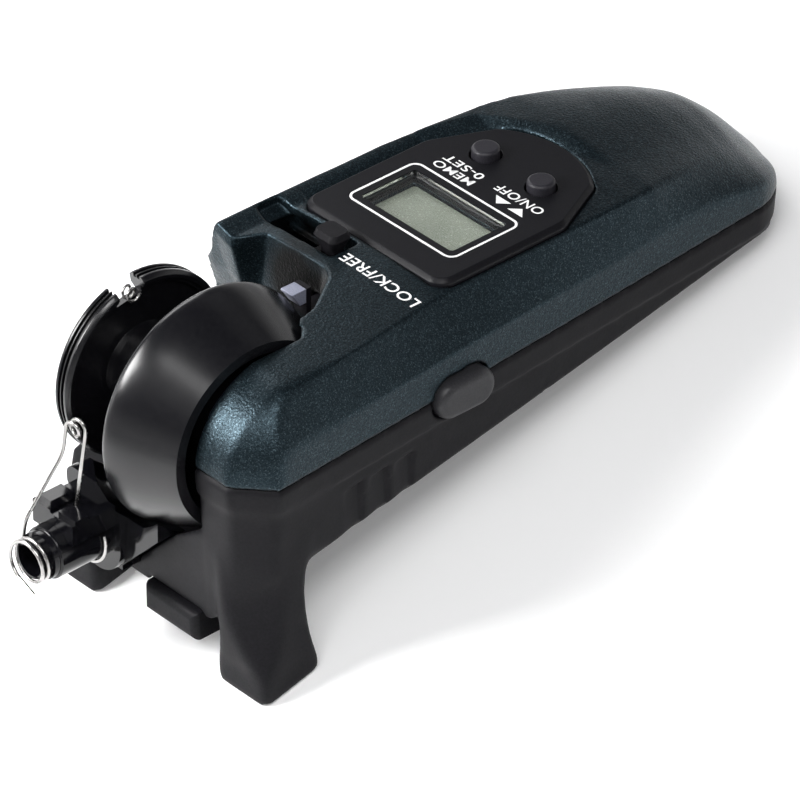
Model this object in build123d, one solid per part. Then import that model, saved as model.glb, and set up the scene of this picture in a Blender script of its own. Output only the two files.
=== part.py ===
"""Hand-held electric reel for small fish: bullet-shaped case, side-mounted spool and rod-tip socket.

Modelled in the case's own frame: +X away from the spool's open side, +Y from the spool towards the tail,
+Z up, z = 0 at the parting line of the two shells, y = 0 at the front corners. At the end the whole reel
is tipped by its standing pitch, so that both feet and the tail stand on z = 0.
"""
import os
from math import acos, atan2, ceil, cos, degrees, hypot, pi, radians, sin, sqrt, tan

from build123d import *

# Overall case
case_half_width = 22.1
case_mid_half_width = 18.8
case_tail_half_width = 15.2
case_mid_y = 46.0
case_side_end_y = 92.0
case_tail_y = 102.0
case_front_y = -4.7
front_flat_half_width = 16.8
tail_shoulder_half_width = 13.0
tail_shoulder_y = 96.8
tail_corner_half_width = 7.0
tail_corner_y = 100.6
case_wall = 1.3
seat_gap = 0.3
snug_gap = 0.05
run_gap = 0.04
overrun = 2.0
standing_pitch = 14.0
sole_depth = 32.7

# Upper cover
cover_top = 12.1
cover_side_lean = 4.0
nose_length = 14.7
corner_length = 11.0
roof_steps = 26
# Roof sections: share of the tail's y, then heights of crown, upper crease and side crease as shares of
# cover_top, with the upper crease's distance from the middle as a share of the half width between them
roof_shares = (
    (-0.066, 1.0, 0.778, 0.95, 0.44),
    (0.137, 1.0, 0.812, 0.95, 0.446),
    (0.353, 1.0, 0.740, 0.94, 0.46),
    (0.559, 1.0, 0.797, 0.942, 0.43),
    (0.647, 0.992, 0.823, 0.934, 0.43),
    (0.706, 0.967, 0.828, 0.917, 0.43),
    (0.784, 0.90, 0.752, 0.785, 0.405),
    (0.843, 0.818, 0.667, 0.661, 0.355),
    (0.882, 0.727, 0.597, 0.562, 0.306),
    (0.926, 0.579, 0.517, 0.413, 0.215),
    (0.961, 0.372, 0.457, 0.248, 0.10),
    (1.003, 0.041, 0.380, -0.025, -0.08),
)

# Lower case
side_depth_front = 15.6
side_depth_tail = 3.9
keel_half_width = 11.6
keel_tail_half_width = 9.0
keel_depth_front = 25.8
keel_end_y = 91.0
keel_end_depth = 8.0
keel_tail_depth = 7.8
lower_lean = 3.8
lip_height = 3.9
lip_step = 0.35
grip_step_count = 3
grip_step_first_y = 12.2
grip_step_pitch = 4.7
grip_step_top_z = -6.4
grip_step_margin = 0.5
grip_step_depth = 0.5
grip_step_length = 3.7

# Legs
leg_inner_x = 12.6
leg_top_outer_x = 20.9
leg_top_front_y = -3.4
leg_top_z = -9.5
leg_corner_radius = 0.9
leg_front_y = -3.9
leg_rear_y = 6.9
leg_waist_rear_y = 5.4
leg_waist_inner_x = 13.6
leg_waist_outer_x = 21.2
leg_waist_z = -21.0
foot_inner_x = 12.2
foot_outer_x = 22.1
foot_front_y = -2.8
foot_rear_y = 6.7
foot_rim_z = -29.4
foot_cut = 0.7

# Spool, on a lateral axis in the parting plane
spool_y = 6.2
spool_near_radius = 17.4
spool_cone_end_radius = 12.7
spool_rim_right_x = 1.2
spool_rim_width = 3.3
spool_cone_end_x = 9.1
spool_hub_radius = 6.0
spool_gap_width = 9.6
spool_far_radius = 13.45
spool_cap_width = 3.0
spool_dish_depth = 0.9
spool_dish_radius = 11.6
cap_recess_depth = 1.0
cap_recess_radius = 11.9
cap_step_depth = 0.35
cap_step_width = 0.55
spool_edge = 0.5
spool_wall = 1.6
spool_web_radius = 15.0
spool_notch_width = 4.2
spool_notch_depth = 2.7
spool_notch_turn = 10.0
rim_groove_count = 2
rim_groove_depth = 0.5
rim_groove_width = 0.5
shaft_radius = 1.5
knob_radius = 4.2
knob_proud = 1.1
knob_flutes = 10
knob_flute_radius = 0.7
pocket_gap = 1.2

# Pocket behind the spool
pocket_back_y = 25.2
pocket_back_top_y = 27.2
pocket_wall_front_x = 10.5
pocket_wall_mid_x = 8.8
pocket_wall_rear_x = 6.4
pocket_wall_mid_y = 8.0
pocket_wall_rear_y = 19.5
pocket_wall_turn = 5.0
pocket_corner = 4.0

# Bearings, gears and motor in the cheek
bearing_radius = 3.0
bearing_width = 2.4
bearing_inner_x = 10.2
gear_module = 0.5
pinion_teeth = 10
wheel_teeth = 36
relay_teeth = 14
idler_teeth = 20
drive_teeth = 20
gear_backlash_share = 0.14
pressure_angle = 25.0
addendum_share = 0.85
dedendum_share = 1.2
axle_radius = 0.75
wheel_x = 12.0
wheel_width = 1.6
relay_end_x = 17.7
drive_x = 16.1
drive_width = 1.6
frame_x = 17.9
frame_thickness = 0.5
frame_rear_y = 27.6
frame_front_y = -2.4
frame_top_z = 8.0
frame_low_z = -12.4
frame_screw_spots = ((3.0, -9.0), (12.5, -8.5))
frame_screw_head = 0.35
frame_post_radius = 1.5
bush_radius = 2.4
bush_head_radius = 3.0
bush_head = 0.4
bearing_boss_radius = 4.3
spool_boss_radius = 2.3
spool_boss_x = 10.1
idler_stud_x = 14.4
idler_head = 0.5
idler_head_radius = 1.3
idler_hub_radius = 2.0
motor_radius = 6.0
motor_length = 17.5
motor_face_x = 10.7
motor_boss_radius = 2.2
motor_boss_length = 0.6
motor_shaft_depth = 2.4
motor_flat = 0.9
plate_thickness = 0.8
plate_front_y = 21.9
plate_rear_y = 41.6
plate_low_z = -6.5
plate_top_z = 6.8
saddle_block_front_y = 29.6
saddle_block_rear_y = 32.4
saddle_block_low_z = -9.5
saddle_block_top_z = -2.6
saddle_block_left_x = -5.5
saddle_block_right_x = 9.5

# Batteries and door
cell_radius = 5.25
cell_length = 44.5
cell_nub_radius = 1.9
cell_nub_length = 0.9
cell_half_pitch = 5.35
cell_start = 49.0
door_thickness = 1.5
door_half_width = 10.9
door_start = 3.4
door_end = 94.4
hinge_radius = 0.5
hinge_half_length = 11.9
tab_x = 4.1
tab_width = 10.4
tab_top_z = -24.4
tab_low_z = -28.7
tab_front_y = -4.1
tab_rear_y = 1.0
tab_round = 1.2
contact_thickness = 0.4
contact_width = 7.6
contact_height = 7.0
bulkhead_thickness = 1.0
bulkhead_low = 2.0
bulkhead_half_width = 15.0
bulkhead_high = 12.6

# Display, panel and buttons
panel_front_y = 34.8
panel_side_end_y = 57.0
panel_rear_y = 69.7
panel_half_width = 13.9
panel_shoulder_half_width = 9.6
panel_shoulder_y = 66.2
panel_top = 12.5
panel_bottom = 10.4
panel_bevel = 0.6
panel_front_corner = 2.6
panel_side_corner = 4.0
panel_shoulder_corner = 2.0
panel_floor = 0.9
panel_floor_rim = 0.8
display_y = 46.1
bezel_width = 20.9
bezel_length = 12.7
bezel_rim = 1.45
bezel_corner = 1.4
bezel_depth = 1.0
glass_corner = 0.5
glass_drop = 0.15
glass_ledge = 0.3
lcd_width = 20.5
lcd_length = 12.6
lcd_top = 9.3
lcd_glass_top = 10.2
lcd_side_gap = 0.4
board_z = 6.2
board_thickness = 1.0
board_half_width = 12.8
board_front_y = 42.8
board_rear_y = 68.4
board_corner = 4.0
chip_size = 7.0
chip_height = 1.1
chip_y = 55.0
post_radius = 1.3
post_front_x = 11.5
post_front_y = 55.4
post_rear_x = 9.3
post_rear_y = 66.0
board_screw_radius = 0.6
board_screw_head_radius = 1.1
board_screw_length = 2.6
board_screw_head = 0.6
button_radius = 1.95
button_pitch = 10.9
button_y = 60.4
button_top = 13.8
button_dome = 0.5
button_flange_radius = 2.7
button_flange_z = 8.6
button_flange = 0.7
switch_size = 4.2
switch_height = 0.5
switch_plunger = 0.3
switch_plunger_radius = 1.0

# Side winding buttons
wind_y = 33.4
wind_z = -0.6
wind_length = 10.0
wind_height = 5.6
wind_face_x = 21.3
wind_travel = 0.8
wind_round = 1.3
wind_flange = 0.4
wind_relief_x = 18.6
wind_relief_y = 29.1
wind_flange_height = 7.2
wind_rib_x = 14.2
wind_rib_width = 1.0
wind_rib_front_y = 29.4
wind_rib_rear_y = 37.4
wind_rib_low_z = -18.0
wind_switch = 1.0
wind_flange_x = wind_rib_x + wind_rib_width + wind_switch + wind_travel
wind_recess_start_x = 16.2

# Brake lever, slide and shoe
lever_x = -3.6
lever_width = 4.4
lever_length = 3.6
lever_y = 31.5
lever_top = 14.1
lever_travel = 7.5
lever_corner = 0.9
lever_stem_width = 3.0
lever_stem_length = 2.4
lever_flare_low_z = 11.4
lever_flare_top_z = 13.2
lever_bevel = 0.3
lever_plate_z = 8.4
lever_plate_thickness = 0.8
lever_plate_left_x = -7.4
lever_plate_right_x = 3.7
lever_plate_half_length = 2.6
slot_left_x = -14.3
slot_half_length = 2.4
rail_thickness = 0.5
rail_lip = 0.8
rail_lip_height = 0.5
rail_left_x = -15.2
rail_right_x = 4.6
slide_travel = 2.2
slide_z = 6.6
slide_thickness = 0.7
slide_front_y = 28.0
slide_rear_y = 31.8
slide_left_x = -7.0
slide_pin_x = -5.6
slide_pin_y = 30.4
slide_pin_radius = 0.8
slide_pin_top = 8.9
shoe_half_width = 1.2
shoe_arm_y = 22.8
shoe_arm_thickness = 0.8
shoe_front_y = 20.4
shoe_low_z = 8.7
shoe_top_z = 10.9
shoe_gap = 0.35

# Rod-tip socket on the front
socket_x = -6.4
socket_z = -16.9
socket_mouth_y = -18.6
socket_bore_radius = 2.3
socket_outer_radius = 3.7
socket_bore_depth = 13.5
socket_gap = 0.8
socket_nozzle_radius = 2.65
socket_nozzle_length = 1.6
socket_step_radius = 3.35
socket_step_length = 0.8
socket_flange_radius = 4.7
socket_flange_y = -5.9
socket_flange_thickness = 1.3
socket_flange_drop = 1.6
socket_flange_top_z = -9.8
socket_lug_left_x = -12.4
socket_lug_low_z = -13.4
socket_lug_corner = 1.4
socket_round = 0.3
socket_block_rear_y = 1.5
socket_block_points = (
    (4.4, -14.3), (-2.9, -21.8), (-2.9, -22.6), (-11.5, -22.6), (-11.5, -10.0), (4.4, -10.0),
)
socket_screw_x = -7.2
socket_screw_z = -21.0
socket_rib_thickness = 1.5
socket_rib_left_x = -11.0
socket_rib_right_x = -2.5
socket_rib_low_z = -22.5
socket_rib_top_z = -15.0
saddle_left_x = -10.6
saddle_right_x = -2.5
saddle_front_y = -14.5
saddle_low_z = -14.6
saddle_top_z = -11.5
left_post_right_x = -7.0
left_post_rear_y = -9.5
left_post_top_z = -10.4
left_post_bevel = 0.7
right_post_left_x = -5.9
right_post_front_y = -14.0
right_post_rear_y = -11.8
right_post_top_z = -10.9

# Wire guide of the line
wire_radius = 0.26
wire_hole_gap = 0.06
coil_radius = 3.0
coil_pitch = 1.0
coil_turns = 2.22
coil_end_angle = 173.0
coil_gap = 0.1
coil_tail = 3.2
leg_rise = 4.2
leg_bend = 1.2
knee_drop = 3.8
eye_x = -6.4
eye_y = -11.1
eye_z = 0.2
eye_radius = 1.05
eye_pitch = 1.02
eye_turns = 1.5
eye_bend = 0.7
wire_end_x = -6.2
wire_end_y = -10.8
wire_end_z = -12.0
clip_ring_y = -9.1
clip_ring_start = 20.0
clip_ring_sweep = 220.0

# Line clip in the spool's cap
clip_wire_radius = 0.2
clip_coil_radius = 0.8
clip_pitch = 1.0
clip_turns = 2.0
clip_x = -13.25
clip_axis_radius = 12.0
clip_tail = 2.8

# Case screws: places of their axes and the undersides of their heads
screw_radius = 1.0
screw_head_radius = 1.7
screw_head_length = 1.2
screw_length = 6.4
screw_boss_radius = 1.9
screw_spots = ((15.2, 50.0, -5.2), (-15.2, 50.0, -5.2), (0, 91.0, -4.6))
screw_socket_radius = 0.7
screw_socket_depth = 0.7

# Places that follow from the sizes above
spool_rim_left_x = spool_rim_right_x - spool_rim_width
spool_cap_right_x = spool_rim_left_x - spool_gap_width
spool_cap_left_x = spool_cap_right_x - spool_cap_width
keel_slope = (keel_depth_front - keel_end_depth) / (keel_end_y - case_front_y)
keel_angle = degrees(atan2(keel_slope, 1))
idler_y = spool_y + gear_module * (drive_teeth + idler_teeth) / 2
relay_y = idler_y + gear_module * (idler_teeth + relay_teeth) / 2
motor_y = relay_y + gear_module * (wheel_teeth + pinion_teeth) / 2
plate_x = motor_face_x + snug_gap
lever_right_x = lever_x + lever_width / 2
cell_lift = door_thickness + seat_gap + cell_radius
cell_end = cell_start + cell_length
clip_ring_radius = socket_outer_radius + wire_radius + wire_hole_gap


def block(x0, x1, y0, y1, z0, z1):
    """A box by its corners."""
    solid = Box(x1 - x0, y1 - y0, z1 - z0)
    return Pos((x0 + x1) / 2, (y0 + y1) / 2, (z0 + z1) / 2) * solid


def bar_x(radius, x0, x1, y, z):
    """A round bar along X."""
    return Pos((x0 + x1) / 2, y, z) * Rot(Y=90) * Cylinder(radius, x1 - x0)


def bar_y(radius, y0, y1, x, z):
    """A round bar along Y."""
    return Pos(x, (y0 + y1) / 2, z) * Rot(X=90) * Cylinder(radius, y1 - y0)


def bar_z(radius, z0, z1, x, y):
    """A round bar along Z."""
    return Pos(x, y, (z0 + z1) / 2) * Cylinder(radius, z1 - z0)


def lathe_x(points, y, z):
    """Turn an outline of (x, radius) points about an axis along X."""
    wire = Polyline(*[(x, r) for x, r in points], close=True)
    return Pos(0, y, z) * revolve(make_face(wire), Axis.X)


def whole(shape):
    """Keep a shape's largest solid."""
    return max(shape.solids(), key=lambda s: s.volume)


def half_width(y):
    """Half width of the case's plan at y, forward of its tail."""
    t = y / case_side_end_y
    bulge = case_mid_half_width - (case_half_width + case_tail_half_width) / 2
    return case_half_width + (case_tail_half_width - case_half_width) * t + 4 * bulge * t * (1 - t)


def plan_face(inset):
    """Top view of the case, drawn in by an inset."""
    w = case_half_width
    right = [
        Line((0, case_front_y), (front_flat_half_width, case_front_y)),
        Line((front_flat_half_width, case_front_y), (w, 0)),
        ThreePointArc((w, 0), (case_mid_half_width, case_mid_y), (case_tail_half_width, case_side_end_y)),
        ThreePointArc(
            (case_tail_half_width, case_side_end_y),
            (tail_shoulder_half_width, tail_shoulder_y),
            (tail_corner_half_width, tail_corner_y),
        ),
        ThreePointArc(
            (tail_corner_half_width, tail_corner_y),
            (tail_corner_half_width / 2, (case_tail_y * 3 + tail_corner_y) / 4),
            (0, case_tail_y),
        ),
    ]
    half = make_face(Wire(right + [Line((0, case_tail_y), (0, case_front_y))]))
    face = half + mirror(half, about=Plane.YZ)
    if inset:
        face = offset(face, amount=-inset, kind=Kind.INTERSECTION)
    return face


def tapered(face_low, z_low, face_high, z_high):
    """A solid ruled between two like faces at two heights."""
    return loft([Pos(0, 0, z_low) * face_low, Pos(0, 0, z_high) * face_high], ruled=True)


def section(y, points, crown=None):
    """A face across the case at y from (x, z) points, its last side an arc over the crown if given."""
    pts = [(x, y, z) for x, z in points]
    edges = [Line(a, b) for a, b in zip(pts, pts[1:])]
    if crown is None:
        edges.append(Line(pts[-1], pts[0]))
    else:
        edges.append(ThreePointArc(pts[-1], (crown[0], y, crown[1]), pts[0]))
    return make_face(Wire(edges))


def roof_values(share):
    """One row of the roof's shares at any share of the tail's y, on a smooth curve through the table."""
    last = len(roof_shares) - 1
    low = max(i for i in range(last) if roof_shares[i][0] <= share or i == 0)
    span = roof_shares[low + 1][0] - roof_shares[low][0]
    t = (share - roof_shares[low][0]) / span
    values = [share]
    for column in range(1, len(roof_shares[0])):
        ends = []
        for i in (low, low + 1):
            before = roof_shares[max(i - 1, 0)]
            after = roof_shares[min(i + 1, last)]
            slope = (after[column] - before[column]) / (after[0] - before[0])
            ends.append((roof_shares[i][column], slope * span))
        (a, rise_a), (b, rise_b) = ends
        values.append(
            a * (2 * t**3 - 3 * t**2 + 1) + rise_a * (t**3 - 2 * t**2 + t)
            + b * (3 * t**2 - 2 * t**3) + rise_b * (t**3 - t**2)
        )
    return values


def roof_section(share, inset):
    """Cross-section under the cover's roof: side bevels and a shallow dome."""
    share, top, crease_share, crease_top, side_top = roof_values(share)
    y = case_tail_y * share
    crease_x = half_width(y) * crease_share
    crease_z = cover_top * crease_top - inset
    side_x = half_width(y) - cover_top * side_top * tan(radians(cover_side_lean)) - inset
    side_z = cover_top * side_top - inset
    far = case_half_width + overrun
    far_z = side_z - (far - side_x) * (crease_z - side_z) / (side_x - crease_x)
    low = -keel_depth_front
    points = [
        (crease_x, crease_z), (far, far_z), (far, low),
        (-far, low), (-far, far_z), (-crease_x, crease_z),
    ]
    return section(y, points, (0, cover_top * top - inset))


def roof_solid(inset):
    """Everything under the cover's roof, from nose to tail."""
    first = roof_shares[0][0]
    step = (roof_shares[-1][0] - first) / roof_steps
    return loft([roof_section(first + step * i, inset) for i in range(roof_steps + 1)], ruled=True)


def rounded_front(length, inset, reach):
    """Side view of a front that rises from the parting line to the roof in a quarter ellipse."""
    top = cover_top + seat_gap - inset
    edges = [
        EllipticalCenterArc((length, 0), length - inset, top, start_angle=90, arc_size=90),
        Line((inset, 0), (reach, 0)),
        Line((reach, 0), (reach, top + overrun)),
        Line((reach, top + overrun), (length, top)),
    ]
    return make_face(Wire(edges))


def nose_solid(inset):
    """Everything behind the nose's rounded front."""
    face = rounded_front(nose_length, inset, case_tail_y * 2)
    return Pos(0, case_front_y, 0) * extrude(Plane.YZ * face, case_half_width + overrun, both=True)


def corner_solid(inset):
    """Everything behind the rounded right front corner."""
    run = Vector(case_half_width - front_flat_half_width, -case_front_y, 0).normalized()
    place = Plane(origin=(front_flat_half_width, case_front_y, 0), x_dir=(-run.Y, run.X, 0), z_dir=run)
    return extrude(place * rounded_front(corner_length, inset, case_tail_y * 2), case_tail_y, both=True)


def upper_form(inset, low=0.0):
    """Outer form of the upper cover, drawn in by an inset."""
    lean = cover_top * tan(radians(cover_side_lean))
    walls = tapered(plan_face(inset), low, plan_face(inset + lean), cover_top + low)
    return walls & nose_solid(inset) & corner_solid(inset) & roof_solid(inset)


def side_depth(y):
    """Depth of the lower case's sides below the parting line."""
    share = (y - case_front_y) / (case_tail_y - case_front_y)
    return side_depth_front + (side_depth_tail - side_depth_front) * share


def keel_depth(y):
    """Depth of the keel's flat bottom below the parting line."""
    return keel_depth_front - keel_slope * (y - case_front_y)


def keel_section(y, depth, inset):
    """Cross-section of the lower case: upright sides, sloping flanks and a flat keel."""
    keel_x = (keel_half_width if y <= keel_end_y else keel_tail_half_width) - inset
    keel_z = inset - depth
    side_x = half_width(min(y, case_side_end_y)) - side_depth(y) * tan(radians(lower_lean)) - inset
    side_z = inset - side_depth(y)
    far = case_half_width + overrun
    far_z = side_z + (far - side_x) * (side_z - keel_z) / (side_x - keel_x)
    top = max(far_z, 0) + overrun
    points = [(far, top), (far, far_z), (keel_x, keel_z), (-keel_x, keel_z), (-far, far_z), (-far, top)]
    return section(y, points)


def lower_form(inset):
    """Outer form of the lower case without its legs."""
    depth = keel_depth_front + overrun
    lean = depth * tan(radians(lower_lean))
    walls = tapered(plan_face(inset + lean), -depth, plan_face(inset), 0)
    nose_y = case_front_y - overrun
    tail_y = case_tail_y + overrun
    span = [
        keel_section(nose_y, keel_depth(nose_y), inset),
        keel_section(keel_end_y, keel_end_depth, inset),
        keel_section(tail_y, keel_tail_depth, inset),
    ]
    return walls & loft(span, ruled=True)


def leg_section(inner, front, rear, outer, cut_x, cut_y, z):
    """Plan section of the right leg, its outer front corner cut off."""
    points = [(inner, front), (outer - cut_x, front), (outer, front + cut_y), (outer, rear), (inner, rear)]
    face = make_face(Polyline(*points, close=True))
    face = fillet(face.vertices(), leg_corner_radius)
    return Pos(0, 0, z) * face


def leg():
    """Right leg with its flared foot."""
    corner_x = case_half_width - front_flat_half_width
    corner_y = -case_front_y
    low = -sole_depth - overrun * 2
    top = leg_section(
        leg_inner_x, leg_top_front_y, leg_rear_y, leg_top_outer_x, corner_x, corner_y, leg_top_z
    )
    waist = leg_section(
        leg_waist_inner_x, leg_front_y, leg_waist_rear_y, leg_waist_outer_x, corner_x, corner_y, leg_waist_z
    )
    rim = leg_section(foot_inner_x, foot_front_y, foot_rear_y, foot_outer_x, foot_cut, foot_cut, foot_rim_z)
    pad = leg_section(foot_inner_x, foot_front_y, foot_rear_y, foot_outer_x, foot_cut, foot_cut, low)
    return loft([top, waist, rim]) + loft([pad, rim], ruled=True)


def above_ground():
    """The space above the ground that the reel stands on, tipped into the case's frame."""
    size = case_tail_y * 4
    slab = block(-size, size, -size, size, 0, size)
    return Pos(0, 0, -sole_depth) * Rot(X=standing_pitch) * slab


def spool_clearance(gap):
    """Space that the turning spool needs, with a gap round it."""
    cap_left = spool_cap_left_x - knob_proud
    points = [
        (cap_left - gap, 0),
        (cap_left - gap, spool_far_radius + gap),
        (spool_cap_right_x + gap, spool_far_radius + gap),
        (spool_rim_left_x - gap, spool_near_radius + gap),
        (spool_rim_right_x + gap / 2, spool_near_radius + gap),
        (spool_cone_end_x + gap, spool_cone_end_radius + gap),
        (spool_cone_end_x + gap, 0),
    ]
    return lathe_x(points, spool_y, 0)


def pocket(grow):
    """Open pocket that holds the spool: everything in front of its back wall and left of its side wall."""
    def outline(back_y):
        far = case_half_width + overrun
        points = [
            (-far, case_front_y - overrun * 2),
            (pocket_wall_front_x + grow, case_front_y - overrun * 2),
            (pocket_wall_front_x + grow, case_front_y + overrun),
            (pocket_wall_mid_x + grow, pocket_wall_mid_y),
            (pocket_wall_rear_x + grow, pocket_wall_rear_y),
            (pocket_wall_rear_x - pocket_wall_turn + grow, back_y + grow),
            (-far, back_y + grow),
        ]
        face = make_face(Polyline(*points, close=True))
        inner = [v for v in face.vertices() if v.Y >= pocket_wall_rear_y and v.X > 0]
        return fillet(inner, pocket_corner)
    walls = tapered(outline(pocket_back_y), 0, outline(pocket_back_top_y), cover_top + overrun)
    left = block(
        -case_half_width - overrun, spool_cap_right_x + pocket_gap,
        case_front_y - overrun, pocket_back_y + grow,
        -spool_far_radius - pocket_gap - grow, 0,
    )
    return walls + spool_clearance(pocket_gap + grow) + left


def seat_x(radius, x0, x1, y, z):
    """A round hole along X with a snug fit."""
    return bar_x(radius + snug_gap, x0, x1, y, z)


def gear(teeth, width, x, bore, phase, y, z):
    """Spur gear about an axis along X, with involute flanks and a little backlash."""
    pitch_radius = gear_module * teeth / 2
    base = pitch_radius * cos(radians(pressure_angle))
    tip = pitch_radius + gear_module * addendum_share
    root = pitch_radius - gear_module * dedendum_share
    half_tooth = pi / (2 * teeth) * (1 - gear_backlash_share)
    flank = sorted({root, max(root, base), pitch_radius, (pitch_radius + tip) / 2, tip})
    profile = []
    for radius in flank:
        angle = acos(min(1.0, base / radius))
        lean = tan(radians(pressure_angle)) - radians(pressure_angle) - (tan(angle) - angle)
        profile.append((radius, half_tooth + lean))
    points = []
    for tooth in range(teeth):
        centre = 2 * pi * tooth / teeth + radians(phase)
        side = [(r, centre - a) for r, a in profile] + [(r, centre + a) for r, a in reversed(profile)]
        points += [(r * cos(a), r * sin(a)) for r, a in side]
    face = make_face(Polyline(*points, close=True)) - Circle(bore)
    return Pos(x, y, z) * extrude(Plane.YZ * face, width)


def oval(length, height, depth):
    """A long round-ended bar along X, its length along Y."""
    return extrude(Plane.YZ * SlotOverall(length, height), depth)


def both_sides(shape):
    """A shape and its mirror image across the case's middle plane."""
    return shape + mirror(shape, about=Plane.YZ)


def half_space(sign):
    """Everything above or below the parting plane."""
    size = case_tail_y * 2
    return block(-size, size, -size, size, min(0, sign * size), max(0, sign * size))


def keel_place():
    """Frame on the keel: its Y runs up the keel's flat bottom and its Z points inwards."""
    return Pos(0, case_front_y, -keel_depth_front) * Rot(X=keel_angle)


def wind_recess():
    """Round-ended hole through the right side wall for a winding button."""
    depth = case_half_width + overrun - wind_recess_start_x
    hole = oval(wind_length + 2 * seat_gap, wind_height + 2 * seat_gap, depth)
    return Pos(wind_recess_start_x, wind_y, wind_z) * hole


def panel_face(grow):
    """Outline of the display panel in plan: rounded corners and a bowed rear edge."""
    right = [
        (panel_half_width, panel_front_y),
        (panel_half_width, panel_side_end_y),
        (panel_shoulder_half_width, panel_shoulder_y),
    ]
    left = [(-x, y) for x, y in reversed(right)]
    rear = ThreePointArc(right[-1], (0, panel_rear_y), left[0])
    face = make_face(Polyline(*(left + right)).edges() + rear.edges())
    for y, radius in (
        (panel_front_y, panel_front_corner),
        (panel_side_end_y, panel_side_corner),
        (panel_shoulder_y, panel_shoulder_corner),
    ):
        face = fillet([v for v in face.vertices() if abs(v.Y - y) < snug_gap], radius)
    return offset(face, amount=grow) if grow else face


def rounded_slab(width, length, corner, z0, z1):
    """A slab with round corners under the display's middle."""
    return Pos(0, display_y, z0) * extrude(RectangleRounded(width, length, corner), z1 - z0)


def view_hole(z0, z1):
    """Hole that the display is seen through."""
    width = bezel_width - 2 * bezel_rim - 2 * glass_ledge
    length = bezel_length - 2 * bezel_rim - 2 * glass_ledge
    return rounded_slab(width, length, glass_corner, z0, z1)


def button_holes(z0, z1):
    """Holes of the two round buttons."""
    side = bar_z(button_radius + seat_gap, z0, z1, button_pitch / 2, button_y)
    return both_sides(side)


def post_spots():
    """Places of the posts that carry the circuit board."""
    spots = ((post_front_x, post_front_y), (post_rear_x, post_rear_y))
    return [(side * x, y) for side in (-1, 1) for x, y in spots]


def lever_rails():
    """Two rails under the roof that the lever's plate slides in."""
    reach = lever_plate_half_length + seat_gap
    rails = None
    for side in (-1, 1):
        inner = lever_y + side * reach
        outer = inner + side * rail_thickness
        low = lever_plate_z - seat_gap - rail_lip_height
        rail = block(rail_left_x, rail_right_x, min(inner, outer), max(inner, outer), low, cover_top)
        edge = inner - side * rail_lip
        lip = block(
            rail_left_x, rail_right_x, min(edge, outer), max(edge, outer), low, low + rail_lip_height
        )
        rail += lip
        rails = rail if rails is None else rails + rail
    return rails


def make_upper_cover():
    roof = upper_form(seat_gap)
    shell = upper_form(0) - (upper_form(case_wall, -overrun) - pocket(case_wall))
    floor_z = panel_bottom - panel_floor
    shell += Pos(0, 0, floor_z) * extrude(panel_face(panel_floor_rim), panel_top - floor_z) & roof
    shell += lever_rails() & roof
    for x, y in post_spots():
        shell += bar_z(post_radius, board_z + board_thickness, cover_top, x, y) & roof
    for x, y, _ in screw_spots:
        shell += bar_z(screw_boss_radius, 0, cover_top, x, y) & roof
    boss_end_x = bearing_inner_x + bearing_width
    shell += bar_x(bearing_boss_radius, boss_end_x - case_wall, boss_end_x, spool_y, 0) & half_space(1)
    shell -= pocket(0)
    shell -= seat_x(bearing_radius, bearing_inner_x, boss_end_x + overrun, spool_y, 0)
    shell -= bar_x(spool_boss_radius + seat_gap, spool_cone_end_x, boss_end_x, spool_y, 0)
    shell -= both_sides(wind_recess())
    shell -= Pos(0, 0, panel_bottom) * extrude(panel_face(snug_gap), cover_top)
    shell -= view_hole(board_z, cover_top) + button_holes(board_z, cover_top)
    slot_right_x = lever_right_x + seat_gap
    shell -= block(slot_left_x, slot_right_x, lever_y - slot_half_length, lever_y + slot_half_length,
                   lever_plate_z + lever_plate_thickness, cover_top + overrun)
    reach = shoe_half_width + seat_gap
    shell -= block(-reach, reach, shoe_arm_y, pocket_back_top_y + case_wall * 2,
                   slide_z - seat_gap, slide_z + slide_thickness + seat_gap)
    for x, y in post_spots():
        shell -= bar_z(board_screw_radius + snug_gap, board_z, board_z + board_screw_length, x, y)
    for x, y, head_z in screw_spots:
        shell -= bar_z(screw_radius + snug_gap, -overrun, head_z + screw_length + seat_gap, x, y)
    return whole(shell)


def grip_steps():
    """Ramped thumb steps cut into the right side, as deep as the side goes down."""
    steps = None
    for step in range(grip_step_count):
        y0 = grip_step_first_y + step * grip_step_pitch
        y1 = y0 + grip_step_length
        low = grip_step_margin - side_depth(y1)
        x = half_width(y0) - lip_step + (low + grip_step_top_z) / 2 * tan(radians(lower_lean))
        far = case_half_width + overrun
        face = make_face(Polyline((x, y0), (x - grip_step_depth, y1), (far, y1), (far, y0), close=True))
        cut = Pos(0, 0, low) * extrude(face, grip_step_top_z - low)
        steps = cut if steps is None else steps + cut
    return steps


def socket_block(grow, rear_y):
    """Block behind the rod socket, in the opening of the front wall."""
    face = make_face(Polyline(*socket_block_points, close=True))
    if grow:
        face = offset(face, amount=grow, kind=Kind.INTERSECTION)
    depth = rear_y - socket_flange_y
    return Pos(0, rear_y, 0) * extrude(Plane.XZ * face, depth)


def tongue(grow):
    """Tongue of the battery door that shows under the front wall."""
    half = tab_width / 2 + grow
    return block(
        tab_x - half, tab_x + half, tab_front_y - grow, tab_rear_y, tab_low_z - grow, tab_top_z + grow
    )


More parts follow.
